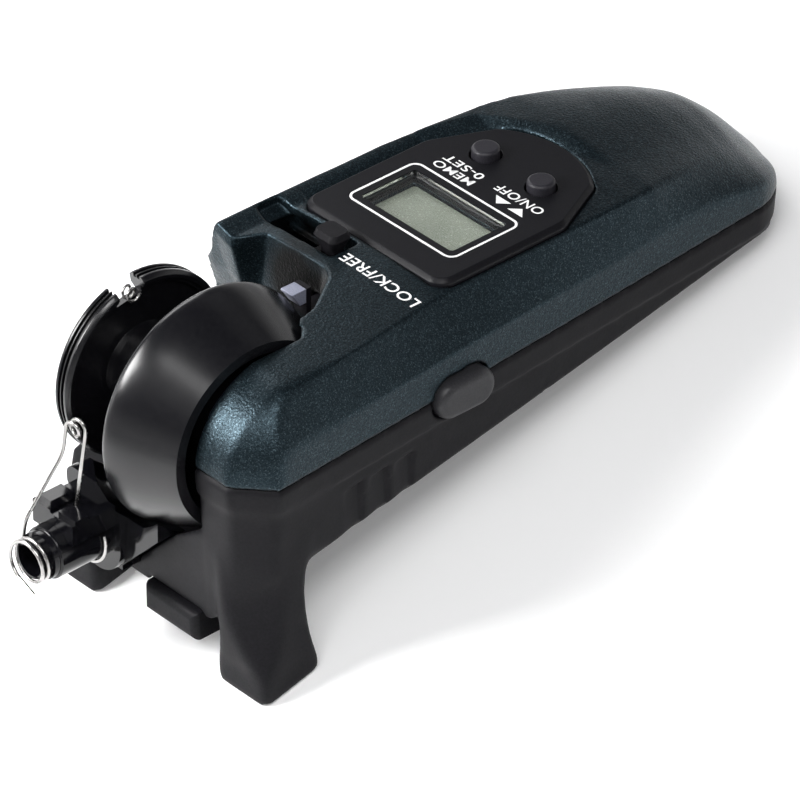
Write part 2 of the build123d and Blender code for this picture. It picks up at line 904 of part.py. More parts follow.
def bulkheads():
    """Cross walls of the battery bay."""
    gap = seat_gap + contact_thickness
    front = cell_start - gap
    rear = cell_end + gap
    half = bulkhead_half_width
    walls = block(-half, half, front - bulkhead_thickness, front, bulkhead_low, bulkhead_high)
    walls += block(-half, half, rear, rear + bulkhead_thickness, bulkhead_low, bulkhead_high)
    top = block(-half, half, case_front_y, motor_y + motor_radius, plate_low_z, cover_top)
    saddle = block(
        saddle_block_left_x, saddle_block_right_x, saddle_block_front_y, saddle_block_rear_y,
        saddle_block_low_z, saddle_block_top_z,
    )
    saddle -= bar_x(motor_radius + snug_gap, -half, half, motor_y, 0)
    return keel_place() * walls - top + saddle


def make_lower_case():
    inset = case_wall + lip_step
    skin = lower_form(lip_step) + (lower_form(0) & block(
        -case_half_width, case_half_width, case_front_y, case_tail_y, -lip_height, 0))
    skin += both_sides(leg())
    shell = skin - (lower_form(inset) - pocket(case_wall))
    inside = lower_form(seat_gap + lip_step)
    extra = bulkheads()
    rib = block(
        wind_rib_x, wind_rib_x + wind_rib_width, wind_rib_front_y, wind_rib_rear_y, wind_rib_low_z, 0)
    extra += both_sides(rib)
    for x, y, head_z in screw_spots:
        extra += bar_z(screw_boss_radius, -keel_depth_front, 0, x, y)
    extra += block(
        socket_rib_left_x, socket_rib_right_x,
        socket_block_rear_y, socket_block_rear_y + socket_rib_thickness,
        socket_rib_low_z, socket_rib_top_z,
    )
    shell += extra & inside
    boss_end_x = bearing_inner_x + bearing_width
    shell += bar_x(bearing_boss_radius, boss_end_x - case_wall, boss_end_x, spool_y, 0) & half_space(-1)
    for y, z in frame_screw_spots:
        shell += bar_x(frame_post_radius, boss_end_x - case_wall, frame_x - snug_gap, y, z)
    shell -= pocket(0)
    shell -= seat_x(bearing_radius, bearing_inner_x, boss_end_x + overrun, spool_y, 0)
    shell -= bar_x(spool_boss_radius + seat_gap, spool_cone_end_x, boss_end_x, spool_y, 0)
    for y, z in frame_screw_spots:
        shell -= seat_x(board_screw_radius, frame_x - board_screw_length, frame_x, y, z)
    shell -= both_sides(wind_recess()) + both_sides(grip_steps())
    shell -= socket_block(snug_gap, socket_block_rear_y)
    shell -= block(-case_half_width, socket_block_points[0][0], case_front_y - overrun,
                   case_front_y + overrun, socket_block_points[0][1], 0)
    shell -= tongue(seat_gap)
    door_space = block(
        -door_half_width - seat_gap, door_half_width + seat_gap,
        door_start - seat_gap, door_end + seat_gap, -overrun, door_thickness + seat_gap,
    )
    barrel = door_thickness / 2
    shell -= keel_place() * door_space
    shell -= keel_place() * bar_x(
        hinge_radius + snug_gap, -hinge_half_length - seat_gap, hinge_half_length + seat_gap,
        door_end - barrel, barrel)
    screw_y = socket_block_rear_y + socket_rib_thickness
    shell -= bar_y(board_screw_radius + snug_gap, 0, screw_y, socket_screw_x, socket_screw_z)
    for x, y, head_z in screw_spots:
        shell -= bar_z(screw_radius + snug_gap, -keel_depth_front, 0, x, y)
        shell -= bar_z(screw_head_radius + seat_gap, -keel_depth_front, head_z, x, y)
    return whole(shell & above_ground())


def make_wind_switches():
    """Switches behind the two winding buttons."""
    x = wind_rib_x + wind_rib_width
    body = block(x, x + wind_switch, wind_y - switch_size / 2, wind_y + switch_size / 2,
                 wind_z - switch_size / 2, wind_z + switch_size / 2)
    return both_sides(body)


def make_display_panel():
    height = panel_top - panel_bottom
    panel = Pos(0, 0, panel_bottom) * extrude(panel_face(0), height)
    panel = chamfer(panel.edges().group_by(Axis.Z)[-1], panel_bevel)
    seat_z = panel_top - bezel_depth
    seat_width = bezel_width + 2 * snug_gap
    seat_length = bezel_length + 2 * snug_gap
    panel -= rounded_slab(seat_width, seat_length, bezel_corner, seat_z, button_top)
    panel -= view_hole(panel_bottom, button_top) + button_holes(panel_bottom, button_top)
    return panel


def make_display_bezel():
    low = panel_top - bezel_depth
    ring = rounded_slab(bezel_width, bezel_length, bezel_corner, low, panel_top)
    width = bezel_width - 2 * bezel_rim
    length = bezel_length - 2 * bezel_rim
    return ring - rounded_slab(width, length, glass_corner, low, panel_top)


def make_display_window():
    width = bezel_width - 2 * bezel_rim - 2 * snug_gap
    length = bezel_length - 2 * bezel_rim - 2 * snug_gap
    low = panel_top - bezel_depth
    return rounded_slab(width, length, glass_corner, low, panel_top - glass_drop)


def make_lcd_module():
    body = rounded_slab(lcd_width, lcd_length, glass_corner, board_z + board_thickness, lcd_top)
    width = bezel_width - 2 * bezel_rim - 2 * glass_ledge - 2 * lcd_side_gap
    length = bezel_length - 2 * bezel_rim - 2 * glass_ledge - 2 * lcd_side_gap
    return body + rounded_slab(width, length, glass_corner, lcd_top, lcd_glass_top)


def make_circuit_board():
    x = board_half_width
    rear_x = x - board_corner
    points = [
        (-x, board_front_y), (x, board_front_y), (x, board_rear_y - board_corner), (rear_x, board_rear_y),
        (-rear_x, board_rear_y), (-x, board_rear_y - board_corner),
    ]
    board = Pos(0, 0, board_z) * extrude(make_face(Polyline(*points, close=True)), board_thickness)
    for x, y in post_spots():
        board -= bar_z(board_screw_radius + snug_gap, board_z, board_z + board_thickness, x, y)
    return board


def make_board_screws():
    screws = None
    for x, y in post_spots():
        screw = bar_z(board_screw_radius, board_z, board_z + board_screw_length, x, y)
        screw += bar_z(board_screw_head_radius, board_z - board_screw_head, board_z, x, y)
        screws = screw if screws is None else screws + screw
    return screws


def make_controller_chip():
    half = chip_size / 2
    return block(-half, half, chip_y - half, chip_y + half, board_z - chip_height, board_z)


def make_tact_switches():
    z = board_z + board_thickness
    half = switch_size / 2
    x = button_pitch / 2
    body = block(x - half, x + half, button_y - half, button_y + half, z, z + switch_height)
    body += bar_z(switch_plunger_radius, z + switch_height, z + switch_height + switch_plunger, x, button_y)
    return both_sides(body)


def round_button(x):
    """A round button with its retaining flange and a slightly domed top."""
    stem = bar_z(button_radius, button_flange_z + button_flange, button_top, x, button_y)
    stem = fillet(stem.edges().group_by(Axis.Z)[-1], button_dome)
    return stem + bar_z(button_flange_radius, button_flange_z, button_flange_z + button_flange, x, button_y)


def make_wind_button():
    cap = Pos(wind_flange_x, wind_y, wind_z) * oval(wind_length, wind_height, wind_face_x - wind_flange_x)
    cap = fillet(cap.edges().group_by(Axis.X)[-1], wind_round)
    half = wind_flange_height / 2
    front_y = wind_y - wind_length / 2
    flange = block(wind_flange_x, wind_flange_x + wind_flange, front_y, wind_y + wind_length / 2,
                   wind_z - half, wind_z + half)
    relief = block(wind_flange_x, wind_relief_x, front_y, wind_relief_y, wind_z - half, wind_z + half)
    return cap + flange - relief


def make_brake_lever():
    low = lever_plate_z
    high = low + lever_plate_thickness
    plate = block(lever_plate_left_x, lever_plate_right_x, lever_y - lever_plate_half_length,
                  lever_y + lever_plate_half_length, low, high)
    track = slide_pin_radius + seat_gap
    ends = [(slide_pin_x, slide_pin_y), (slide_pin_x + lever_travel, slide_pin_y + slide_travel)]
    (x0, y0), (x1, y1) = ends
    angle = degrees(atan2(y1 - y0, x1 - x0))
    length = hypot(x1 - x0, y1 - y0) + 2 * track
    slot = extrude(Rot(Z=angle) * SlotOverall(length, 2 * track), lever_plate_thickness)
    plate -= Pos((x0 + x1) / 2, (y0 + y1) / 2, low) * slot
    foot = RectangleRounded(lever_stem_width, lever_stem_length, lever_corner)
    head = RectangleRounded(lever_width, lever_length, lever_corner)
    crown = RectangleRounded(lever_width - 2 * lever_bevel, lever_length - 2 * lever_bevel, lever_corner)
    stem = Pos(0, 0, high) * extrude(foot, lever_flare_low_z - high)
    flare = loft([Pos(0, 0, lever_flare_low_z) * foot, Pos(0, 0, lever_flare_top_z) * head], ruled=True)
    cap = loft([Pos(0, 0, lever_flare_top_z) * head, Pos(0, 0, lever_top) * crown], ruled=True)
    return plate + Pos(lever_x, lever_y, 0) * (stem + flare + cap)


def make_brake_slide():
    high = slide_z + slide_thickness
    plate = block(slide_left_x, shoe_half_width, slide_front_y, slide_rear_y, slide_z, high)
    plate += block(-shoe_half_width, shoe_half_width, shoe_arm_y, slide_front_y, slide_z, high)
    plate += block(
        -shoe_half_width, shoe_half_width, shoe_arm_y, shoe_arm_y + shoe_arm_thickness, slide_z, shoe_top_z
    )
    return plate + bar_z(slide_pin_radius, high, slide_pin_top, slide_pin_x, slide_pin_y)


def make_brake_shoe():
    shoe = block(-shoe_half_width, shoe_half_width, shoe_front_y, shoe_arm_y, shoe_low_z, shoe_top_z)
    rim = bar_x(spool_near_radius + shoe_gap, -shoe_half_width, shoe_half_width, spool_y, 0)
    return shoe - rim


def make_spool():
    edge = spool_edge
    inner_x = spool_rim_left_x + spool_wall
    points = [
        (spool_cap_right_x, shaft_radius + snug_gap),
        (spool_cap_right_x, spool_hub_radius),
        (spool_rim_left_x, spool_hub_radius),
        (spool_rim_left_x, spool_near_radius - edge),
        (spool_rim_left_x + edge, spool_near_radius),
        (spool_rim_right_x - edge, spool_near_radius),
        (spool_rim_right_x, spool_near_radius - edge),
        (spool_cone_end_x, spool_cone_end_radius),
        (spool_cone_end_x, spool_cone_end_radius - spool_wall),
        (spool_rim_right_x, spool_web_radius),
        (inner_x, spool_web_radius),
        (inner_x, spool_hub_radius - spool_wall),
        (spool_cone_end_x - spool_wall, spool_boss_radius + spool_wall),
        (spool_cone_end_x - spool_wall, spool_boss_radius),
        (spool_boss_x, spool_boss_radius),
        (spool_boss_x, shaft_radius + snug_gap),
    ]
    return lathe_x(points, spool_y, 0)


def make_spool_cap():
    edge = spool_edge
    left = spool_cap_left_x
    floor_x = left + spool_dish_depth
    disc_x = spool_cap_right_x - cap_recess_depth
    step_x = spool_cap_right_x - cap_step_depth
    step_radius = cap_recess_radius + cap_step_width
    points = [
        (spool_cap_right_x, shaft_radius + snug_gap),
        (spool_cap_right_x, spool_hub_radius),
        (disc_x, spool_hub_radius),
        (disc_x, cap_recess_radius),
        (step_x, cap_recess_radius),
        (step_x, step_radius),
        (spool_cap_right_x, step_radius),
        (spool_cap_right_x, spool_far_radius - edge),
        (spool_cap_right_x - edge, spool_far_radius),
    ]
    for groove in range(1, rim_groove_count + 1):
        x = spool_cap_right_x - edge - groove * (spool_cap_width - 2 * edge) / (rim_groove_count + 1)
        half = rim_groove_width / 2
        low = spool_far_radius - rim_groove_depth
        points += [(x + half, spool_far_radius), (x + half, low)]
        points += [(x - half, low), (x - half, spool_far_radius)]
    points += [
        (left + edge, spool_far_radius),
        (left, spool_far_radius - edge),
        (left, spool_dish_radius),
        (floor_x, spool_dish_radius - spool_dish_depth),
        (floor_x, shaft_radius + snug_gap),
    ]
    cap = lathe_x(points, spool_y, 0)
    notch = block(left - overrun, spool_cap_right_x + overrun, -spool_notch_width / 2, spool_notch_width / 2,
                  spool_far_radius - spool_notch_depth, spool_far_radius + overrun)
    cap -= Pos(0, spool_y, 0) * Rot(X=spool_notch_turn) * notch
    hole = bar_z(clip_wire_radius + wire_hole_gap, clip_axis_radius - clip_tail - seat_gap, spool_far_radius,
                 clip_x, clip_coil_radius)
    return cap - Pos(0, spool_y, 0) * Rot(X=spool_notch_turn) * hole


def make_spool_knob():
    right = spool_cap_left_x + spool_dish_depth
    left = spool_cap_left_x - knob_proud
    knob = bar_x(knob_radius, left, right, spool_y, 0)
    knob = fillet(knob.edges().group_by(Axis.X)[0], spool_edge)
    for flute in range(knob_flutes):
        a = 2 * pi * flute / knob_flutes
        knob -= bar_x(knob_flute_radius, left - overrun, right + overrun,
                      spool_y + knob_radius * cos(a), knob_radius * sin(a))
    return knob - seat_x(shaft_radius, left + knob_proud, right + overrun, spool_y, 0)


def make_spool_shaft():
    left = spool_cap_left_x + snug_gap
    right = frame_x + frame_thickness + bush_head + snug_gap
    return bar_x(shaft_radius, left, right, spool_y, 0)


def make_drive_gear():
    hub_end = bearing_inner_x + bearing_width + seat_gap
    wheel = gear(drive_teeth, drive_width, drive_x, shaft_radius + snug_gap, 0, spool_y, 0)
    hub = bar_x(spool_boss_radius, hub_end, drive_x, spool_y, 0)
    return wheel + hub - seat_x(shaft_radius, hub_end, drive_x, spool_y, 0)


def make_idler_gear():
    bore = axle_radius + run_gap
    wheel = gear(idler_teeth, drive_width, drive_x, bore, 180 / idler_teeth, idler_y, 0)
    hub_x = idler_stud_x + idler_head + seat_gap
    hub = bar_x(idler_hub_radius, hub_x, drive_x, idler_y, 0) - bar_x(bore, hub_x, drive_x, idler_y, 0)
    return wheel + hub


def make_reduction_gear():
    bore = axle_radius + run_gap
    wheel = gear(wheel_teeth, wheel_width, wheel_x, bore, 0, relay_y, 0)
    relay_x = wheel_x + wheel_width
    return wheel + gear(relay_teeth, relay_end_x - relay_x, relay_x, bore, 0, relay_y, 0)


def make_motor_rotor():
    shaft = bar_x(axle_radius, motor_face_x - motor_shaft_depth, wheel_x + wheel_width, motor_y, 0)
    return shaft + gear(pinion_teeth, wheel_width, wheel_x, axle_radius / 2, 180 / pinion_teeth, motor_y, 0)


def make_motor():
    can = bar_x(motor_radius, motor_face_x - motor_length, motor_face_x, motor_y, 0)
    can = fillet(can.edges().group_by(Axis.X)[0], motor_flat)
    can += bar_x(motor_boss_radius, motor_face_x, motor_face_x + motor_boss_length, motor_y, 0)
    start = motor_face_x - motor_shaft_depth - seat_gap
    return can - bar_x(axle_radius + run_gap, start, motor_face_x + overrun, motor_y, 0)


def make_motor_plate():
    plate = block(plate_x, plate_x + plate_thickness, plate_front_y, plate_rear_y, plate_low_z, plate_top_z)
    plate -= seat_x(motor_boss_radius, plate_x, plate_x + plate_thickness, motor_y, 0)
    return plate - seat_x(axle_radius, plate_x, plate_x + plate_thickness, relay_y, 0)


def make_gear_frame():
    end_x = frame_x + frame_thickness
    plate = block(frame_x, end_x, frame_front_y, frame_rear_y, frame_low_z, frame_top_z)
    form = upper_form(case_wall + seat_gap) + lower_form(case_wall + lip_step + seat_gap)
    plate = plate & form
    plate -= seat_x(bush_radius, frame_x, end_x, spool_y, 0)
    for y in (idler_y, relay_y):
        plate -= seat_x(axle_radius, frame_x, end_x, y, 0)
    for y, z in frame_screw_spots:
        plate -= seat_x(board_screw_radius, frame_x, end_x, y, z)
    return whole(plate)


def make_frame_screws():
    screws = None
    end_x = frame_x + frame_thickness
    for y, z in frame_screw_spots:
        screw = bar_x(board_screw_radius, frame_x - board_screw_length + seat_gap, end_x, y, z)
        screw += bar_x(board_screw_head_radius, end_x, end_x + frame_screw_head, y, z)
        screws = screw if screws is None else screws + screw
    return screws


def make_bearing():
    end_x = bearing_inner_x + bearing_width
    ring = bar_x(bearing_radius, bearing_inner_x, end_x, spool_y, 0)
    return ring - bar_x(shaft_radius + run_gap, bearing_inner_x, end_x, spool_y, 0)


def make_bush():
    end_x = frame_x + frame_thickness
    ring = bar_x(bush_radius, frame_x, end_x, spool_y, 0)
    ring += bar_x(bush_head_radius, end_x, end_x + bush_head, spool_y, 0)
    return ring - bar_x(shaft_radius + run_gap, frame_x, end_x + bush_head, spool_y, 0)


def make_wheel_axle():
    return bar_x(axle_radius, plate_x, frame_x + frame_thickness, relay_y, 0)


def make_idler_stud():
    stud = bar_x(axle_radius, idler_stud_x, frame_x + frame_thickness, idler_y, 0)
    return stud + bar_x(idler_head_radius, idler_stud_x, idler_stud_x + idler_head, idler_y, 0)


def cell(side, flip):
    """One battery cell, its nub towards the tail unless flipped."""
    can = bar_y(cell_radius, 0, cell_length - cell_nub_length, 0, 0)
    can = fillet(can.edges().filter_by(GeomType.CIRCLE), spool_edge)
    can += bar_y(cell_nub_radius, cell_length - cell_nub_length, cell_length, 0, 0)
    if flip:
        can = Pos(0, cell_length, 0) * Rot(Z=180) * can
    return keel_place() * Pos(side * cell_half_pitch, cell_start, cell_lift) * can


def contact_plate(x0, x1, y0):
    """A thin contact plate across the cells' ends."""
    low = cell_lift - contact_height / 2
    return keel_place() * block(x0, x1, y0, y0 + contact_thickness, low, low + contact_height)


def make_front_contacts():
    half = contact_width / 2
    front_y = cell_start - contact_thickness
    return both_sides(contact_plate(cell_half_pitch - half, cell_half_pitch + half, front_y))


def make_rear_contact():
    half = cell_half_pitch + contact_width / 2
    return contact_plate(-half, half, cell_end)


def make_battery_door():
    barrel = door_thickness / 2
    door = block(-door_half_width, door_half_width, door_start, door_end - barrel, 0, door_thickness)
    door += bar_x(barrel, -door_half_width, door_half_width, door_end - barrel, barrel)
    door -= bar_x(hinge_radius + run_gap, -door_half_width, door_half_width, door_end - barrel, barrel)
    front = fillet(tongue(0).edges().group_by(Axis.Y)[0], tab_round)
    return keel_place() * door + front


def make_door_pin():
    barrel = door_thickness / 2
    hinge_y = door_end - barrel
    return keel_place() * bar_x(hinge_radius, -hinge_half_length, hinge_half_length, hinge_y, barrel)


def make_rod_socket():
    step_y = socket_mouth_y + socket_nozzle_length
    tube_y = step_y + socket_step_length
    tube = bar_y(socket_outer_radius, tube_y, socket_flange_y, socket_x, socket_z)
    tube = fillet(tube.edges().group_by(Axis.Y)[0], socket_round)
    tube += bar_y(socket_step_radius, step_y, tube_y, socket_x, socket_z)
    tube += bar_y(socket_nozzle_radius, socket_mouth_y, step_y, socket_x, socket_z)
    half = socket_flange_radius
    centre_z = socket_z - socket_flange_drop
    height = socket_flange_top_z - centre_z
    face = Pos(socket_x, centre_z + height / 2) * Rectangle(2 * half, height)
    face += Pos(socket_x, centre_z) * Circle(half)
    lug_width = socket_x - socket_lug_left_x
    lug_height = socket_flange_top_z - socket_lug_low_z
    lug = Rectangle(lug_width, lug_height)
    lug = fillet(lug.vertices().group_by(Axis.X)[0], socket_lug_corner)
    face += Pos(socket_x - lug_width / 2, socket_flange_top_z - lug_height / 2) * lug
    flange = Pos(0, socket_flange_y, 0) * extrude(Plane.XZ * face, socket_flange_thickness)
    body = socket_block(0, socket_block_rear_y) + flange + tube - spool_clearance(socket_gap)
    body -= bar_y(socket_bore_radius, socket_mouth_y - overrun, socket_mouth_y + socket_bore_depth,
                  socket_x, socket_z)
    hole_y = socket_block_rear_y - board_screw_length * 2
    body -= bar_y(board_screw_radius + snug_gap, hole_y, socket_block_rear_y, socket_screw_x, socket_screw_z)
    return whole(body)


def make_socket_screw():
    end_y = socket_block_rear_y + socket_rib_thickness
    start_y = socket_block_rear_y - board_screw_length
    head_y = end_y + board_screw_head
    screw = bar_y(board_screw_radius, start_y, end_y, socket_screw_x, socket_screw_z)
    return screw + bar_y(board_screw_head_radius, end_y, head_y, socket_screw_x, socket_screw_z)


def make_guide_saddle():
    rear = socket_flange_y - socket_flange_thickness
    seat = block(saddle_left_x, saddle_right_x, saddle_front_y, rear, saddle_low_z, saddle_top_z)
    left = block(
        saddle_left_x, left_post_right_x, saddle_front_y, left_post_rear_y, saddle_top_z, left_post_top_z
    )
    left = chamfer(left.edges().group_by(Axis.Z)[-1], left_post_bevel)
    right = block(right_post_left_x, saddle_right_x, right_post_front_y, right_post_rear_y, saddle_top_z,
                  right_post_top_z)
    seat = seat + left + right
    seat -= bar_y(socket_outer_radius + snug_gap, saddle_front_y, rear, socket_x, socket_z)
    ring = Torus(clip_ring_radius, wire_radius + wire_hole_gap)
    clip = Pos(socket_x, clip_ring_y, socket_z) * Rot(X=90) * ring
    end = bar_z(wire_radius + wire_hole_gap * 2, wire_end_z - wire_hole_gap, right_post_top_z + overrun,
                wire_end_x, wire_end_y)
    return whole(seat - clip - end)


def make_saddle_clip():
    ring = Torus(clip_ring_radius, wire_radius, major_angle=clip_ring_sweep, align=None)
    turned = Rot(X=90) * Rot(Z=180 - clip_ring_start) * ring
    return Pos(socket_x, clip_ring_y, socket_z) * turned


def helix_point(centre, radius, pitch, angle):
    """Point and direction of a helix about an axis along Y that turns clockwise as its angle falls."""
    a = radians(angle)
    x, y, z = centre
    point = Vector(x + radius * cos(a), y - pitch * angle / 360, z + radius * sin(a))
    heading = Vector(radius * sin(a), pitch / (2 * pi), -radius * cos(a))
    return point, heading.normalized()


def biarc(start, start_dir, end, end_dir):
    """Two tangent arcs between two points with given directions."""
    v = end - start
    vt = v.dot(start_dir + end_dir)
    spread = 2 * (1 - start_dir.dot(end_dir))
    d = (-vt + sqrt(vt * vt + spread * v.dot(v))) / spread
    joint = (start + start_dir * d + end - end_dir * d) / 2
    first = TangentArc(start, joint, tangent=start_dir)
    return [first, TangentArc(joint, end, tangent=first % 1)]


def helix_edges(centre, radius, pitch, first, last):
    """Quarter-turn pieces of a helix between two angles."""
    count = ceil(abs(first - last) / 90)
    edges = []
    for step in range(count):
        a0 = first + (last - first) * step / count
        a1 = first + (last - first) * (step + 1) / count
        edges += biarc(*helix_point(centre, radius, pitch, a0), *helix_point(centre, radius, pitch, a1))
    return edges


def bend(start, direction, corner_length, target):
    """An arc from a point and direction onto the straight line to a target."""
    corner = start + direction * corner_length
    leave = (target - corner).normalized()
    return TangentArc(start, corner + leave * corner_length, tangent=direction)


def wire_body(edges, radius, name):
    """A round wire along edges; prints the smallest gap between its curls."""
    path = Wire(edges)
    start = path @ 0
    wire = sweep(Plane(start, z_dir=path % 0) * Circle(radius), path=path)
    count = ceil(path.length / (radius * 2))
    spots = [path @ (i / count) for i in range(count + 1)]
    skip = ceil(2 * pi * radius * 2 / (path.length / count))
    gaps = [(a - b).length for i, a in enumerate(spots) for b in spots[i + skip:]]
    print(name, "smallest gap between curls", round(min(gaps) - 2 * radius, 2))
    return wire


def bent_line(points, reach):
    """Straight stretches through points, joined by arcs that start a given reach from each corner."""
    edges = []
    here = points[0]
    for before, corner, after in zip(points, points[1:], points[2:]):
        come = (corner - before).normalized()
        leave = (after - corner).normalized()
        edges.append(Line(here, corner - come * reach))
        edges.append(TangentArc(corner - come * reach, corner + leave * reach, tangent=come))
        here = corner + leave * reach
    edges.append(Line(here, points[-1]))
    return edges


def make_wire_guide():
    first = coil_end_angle + 360 * coil_turns
    coil_end_y = socket_mouth_y + socket_nozzle_length - coil_gap - wire_radius
    coil_centre = (socket_x, coil_end_y + coil_pitch * coil_end_angle / 360, socket_z)
    start, start_dir = helix_point(coil_centre, coil_radius, coil_pitch, first)
    edges = [Line(start - start_dir * coil_tail, start)]
    edges += helix_edges(coil_centre, coil_radius, coil_pitch, first, coil_end_angle)
    leave, heading = helix_point(coil_centre, coil_radius, coil_pitch, coil_end_angle)
    eye_centre = (eye_x, eye_y + eye_pitch / 2, eye_z)
    last = 180 - 360 * eye_turns
    enter, enter_dir = helix_point(eye_centre, eye_radius, eye_pitch, 180)
    edges += bent_line([leave, leave + heading * leg_rise, enter - enter_dir * knee_drop, enter], leg_bend)
    edges += helix_edges(eye_centre, eye_radius, eye_pitch, 180, last)
    out, out_dir = helix_point(eye_centre, eye_radius, eye_pitch, last)
    end = Vector(wire_end_x, wire_end_y, wire_end_z)
    edges.append(bend(out, out_dir, eye_bend, end))
    edges.append(Line(edges[-1] @ 1, end))
    return wire_body(edges, wire_radius, "wire guide")


def make_line_clip():
    centre = (0, 0, clip_axis_radius)
    first = 360 * clip_turns
    edges = helix_edges(centre, clip_coil_radius, clip_pitch, first, 0)
    end = edges[-1] @ 1
    edges.append(Line(end, end - Vector(0, 0, clip_tail)))
    wire = wire_body(edges, clip_wire_radius, "line clip")
    return Pos(clip_x, spool_y, 0) * Rot(X=spool_notch_turn) * Rot(Z=90) * wire


def make_case_screws():
    screws = None
    for x, y, head_z in screw_spots:
        screw = bar_z(screw_radius, head_z, head_z + screw_length, x, y)
        screw += bar_z(screw_head_radius, head_z - screw_head_length, head_z, x, y)
        low = head_z - screw_head_length
        screw -= bar_z(screw_socket_radius, low, low + screw_socket_depth, x, y)
        screws = screw if screws is None else screws + screw
    return screws


nodes = {
    "upper_cover": make_upper_cover,
    "lower_case": make_lower_case,
    "case_screws": make_case_screws,
    "display_panel": make_display_panel,
    "display_bezel": make_display_bezel,
    "display_window": make_display_window,
    "lcd_module": make_lcd_module,
    "circuit_board": make_circuit_board,
    "board_screws": make_board_screws,
    "controller_chip": make_controller_chip,
    "tact_switches": make_tact_switches,
    "wind_switches": make_wind_switches,
    "motor": make_motor,
    "motor_plate": make_motor_plate,
    "gear_frame": make_gear_frame,
    "frame_screws": make_frame_screws,
    "spool_bearing": make_bearing,
    "frame_bush": make_bush,
    "wheel_axle": make_wheel_axle,
    "idler_stud": make_idler_stud,
    "battery_left": lambda: cell(-1, True),
    "battery_right": lambda: cell(1, False),
    "front_contacts": make_front_contacts,
    "rear_contact": make_rear_contact,
    "door_pin": make_door_pin,
    "rod_socket": make_rod_socket,
    "socket_screw": make_socket_screw,
    "guide_saddle": make_guide_saddle,
    "saddle_clip": make_saddle_clip,
    "wire_guide": make_wire_guide,
    "spool": make_spool,
    "spool_cap": make_spool_cap,
    "spool_knob": make_spool_knob,
    "spool_shaft": make_spool_shaft,
    "line_clip": make_line_clip,
    "drive_gear": make_drive_gear,
    "idler_gear": make_idler_gear,
    "reduction_gear": make_reduction_gear,
    "motor_rotor": make_motor_rotor,
    "brake_lever": make_brake_lever,
    "brake_slide": make_brake_slide,
    "brake_shoe": make_brake_shoe,
    "memo_button": lambda: round_button(-button_pitch / 2),
    "power_button": lambda: round_button(button_pitch / 2),
    "wind_button_right": make_wind_button,
    "wind_button_left": lambda: mirror(make_wind_button(), about=Plane.YZ),
    "battery_door": make_battery_door,
}

tip = Rot(X=-standing_pitch)
shapes = {name: tip * build() for name, build in nodes.items()}
boxes = [shape.bounding_box() for shape in shapes.values()]
low_x = min(box.min.X for box in boxes)
high_x = max(box.max.X for box in boxes)
low_y = min(box.min.Y for box in boxes)
high_y = max(box.max.Y for box in boxes)
low_z = min(box.min.Z for box in boxes)
shift = Pos(-(low_x + high_x) / 2, -(low_y + high_y) / 2, -low_z)
print("shift", shift.position)

os.makedirs("parts", exist_ok=True)
for name, shape in shapes.items():
    placed = shift * shape
    if isinstance(placed, (list, ShapeList)):
        placed = Compound(placed)
    export_step(placed, "parts/" + name + ".step")
    box = placed.bounding_box()
    print(name, len(placed.solids()), [round(v, 2) for v in (*box.min, *box.max)], round(placed.volume, 2))
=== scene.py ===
"""Looks of the hand-held electric reel: materials, moulded shells, printed marks, floor, light and camera."""
from math import cos, pi, radians, sin

import bmesh
import bpy
import numpy as np
from mathutils import Matrix, Vector
from mathutils.bvhtree import BVHTree


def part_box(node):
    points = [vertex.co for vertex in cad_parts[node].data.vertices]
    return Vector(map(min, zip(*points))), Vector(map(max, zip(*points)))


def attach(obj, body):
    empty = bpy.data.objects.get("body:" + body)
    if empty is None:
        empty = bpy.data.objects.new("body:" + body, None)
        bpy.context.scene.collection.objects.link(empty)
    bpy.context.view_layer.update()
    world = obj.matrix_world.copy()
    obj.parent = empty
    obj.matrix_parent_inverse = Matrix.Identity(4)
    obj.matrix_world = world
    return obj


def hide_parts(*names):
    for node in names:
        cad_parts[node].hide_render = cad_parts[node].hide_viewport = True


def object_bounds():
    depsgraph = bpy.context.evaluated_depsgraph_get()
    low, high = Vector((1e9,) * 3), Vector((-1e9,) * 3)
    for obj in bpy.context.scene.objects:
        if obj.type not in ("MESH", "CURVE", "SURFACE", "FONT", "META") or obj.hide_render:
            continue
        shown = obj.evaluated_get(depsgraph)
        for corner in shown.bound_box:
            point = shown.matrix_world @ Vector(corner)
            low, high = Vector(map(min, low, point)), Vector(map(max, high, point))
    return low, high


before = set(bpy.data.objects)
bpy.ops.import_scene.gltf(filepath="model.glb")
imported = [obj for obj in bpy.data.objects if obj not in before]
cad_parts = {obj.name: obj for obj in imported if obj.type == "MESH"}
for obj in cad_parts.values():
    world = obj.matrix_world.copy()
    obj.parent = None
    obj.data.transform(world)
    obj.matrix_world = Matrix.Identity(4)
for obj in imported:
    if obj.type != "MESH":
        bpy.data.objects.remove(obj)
cad_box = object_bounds()

# The case's own frame: the reel stands tipped by its pitch, with the spool's axis at (y, z) = (6.2, 0) mm.
MM = 0.001
PITCH = radians(-14.0)
SPOOL_Y = 6.2 * MM
low, high = (Vector(corner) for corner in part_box("spool_shaft"))
spool_axis = (low + high) / 2
TIP = Matrix.Rotation(PITCH, 4, "X")
ORIGIN = Vector((0, spool_axis.y, spool_axis.z)) - TIP @ Vector((0, SPOOL_Y, 0))
CASE = Matrix.Translation(ORIGIN) @ TIP
CASE_UP = CASE.to_3x3().col[2].copy()

# Places on the display panel, in the case's frame
PANEL_TOP = 12.5 * MM
PRINT_RISE = 0.02 * MM
DISPLAY_Y = 46.1 * MM
OUTLINE_WIDTH = 20.9 * MM
OUTLINE_LENGTH = 12.7 * MM
OUTLINE_CORNER = 1.5 * MM
OUTLINE_STROKE = 0.36 * MM
COVER_TOP = 12.06 * MM

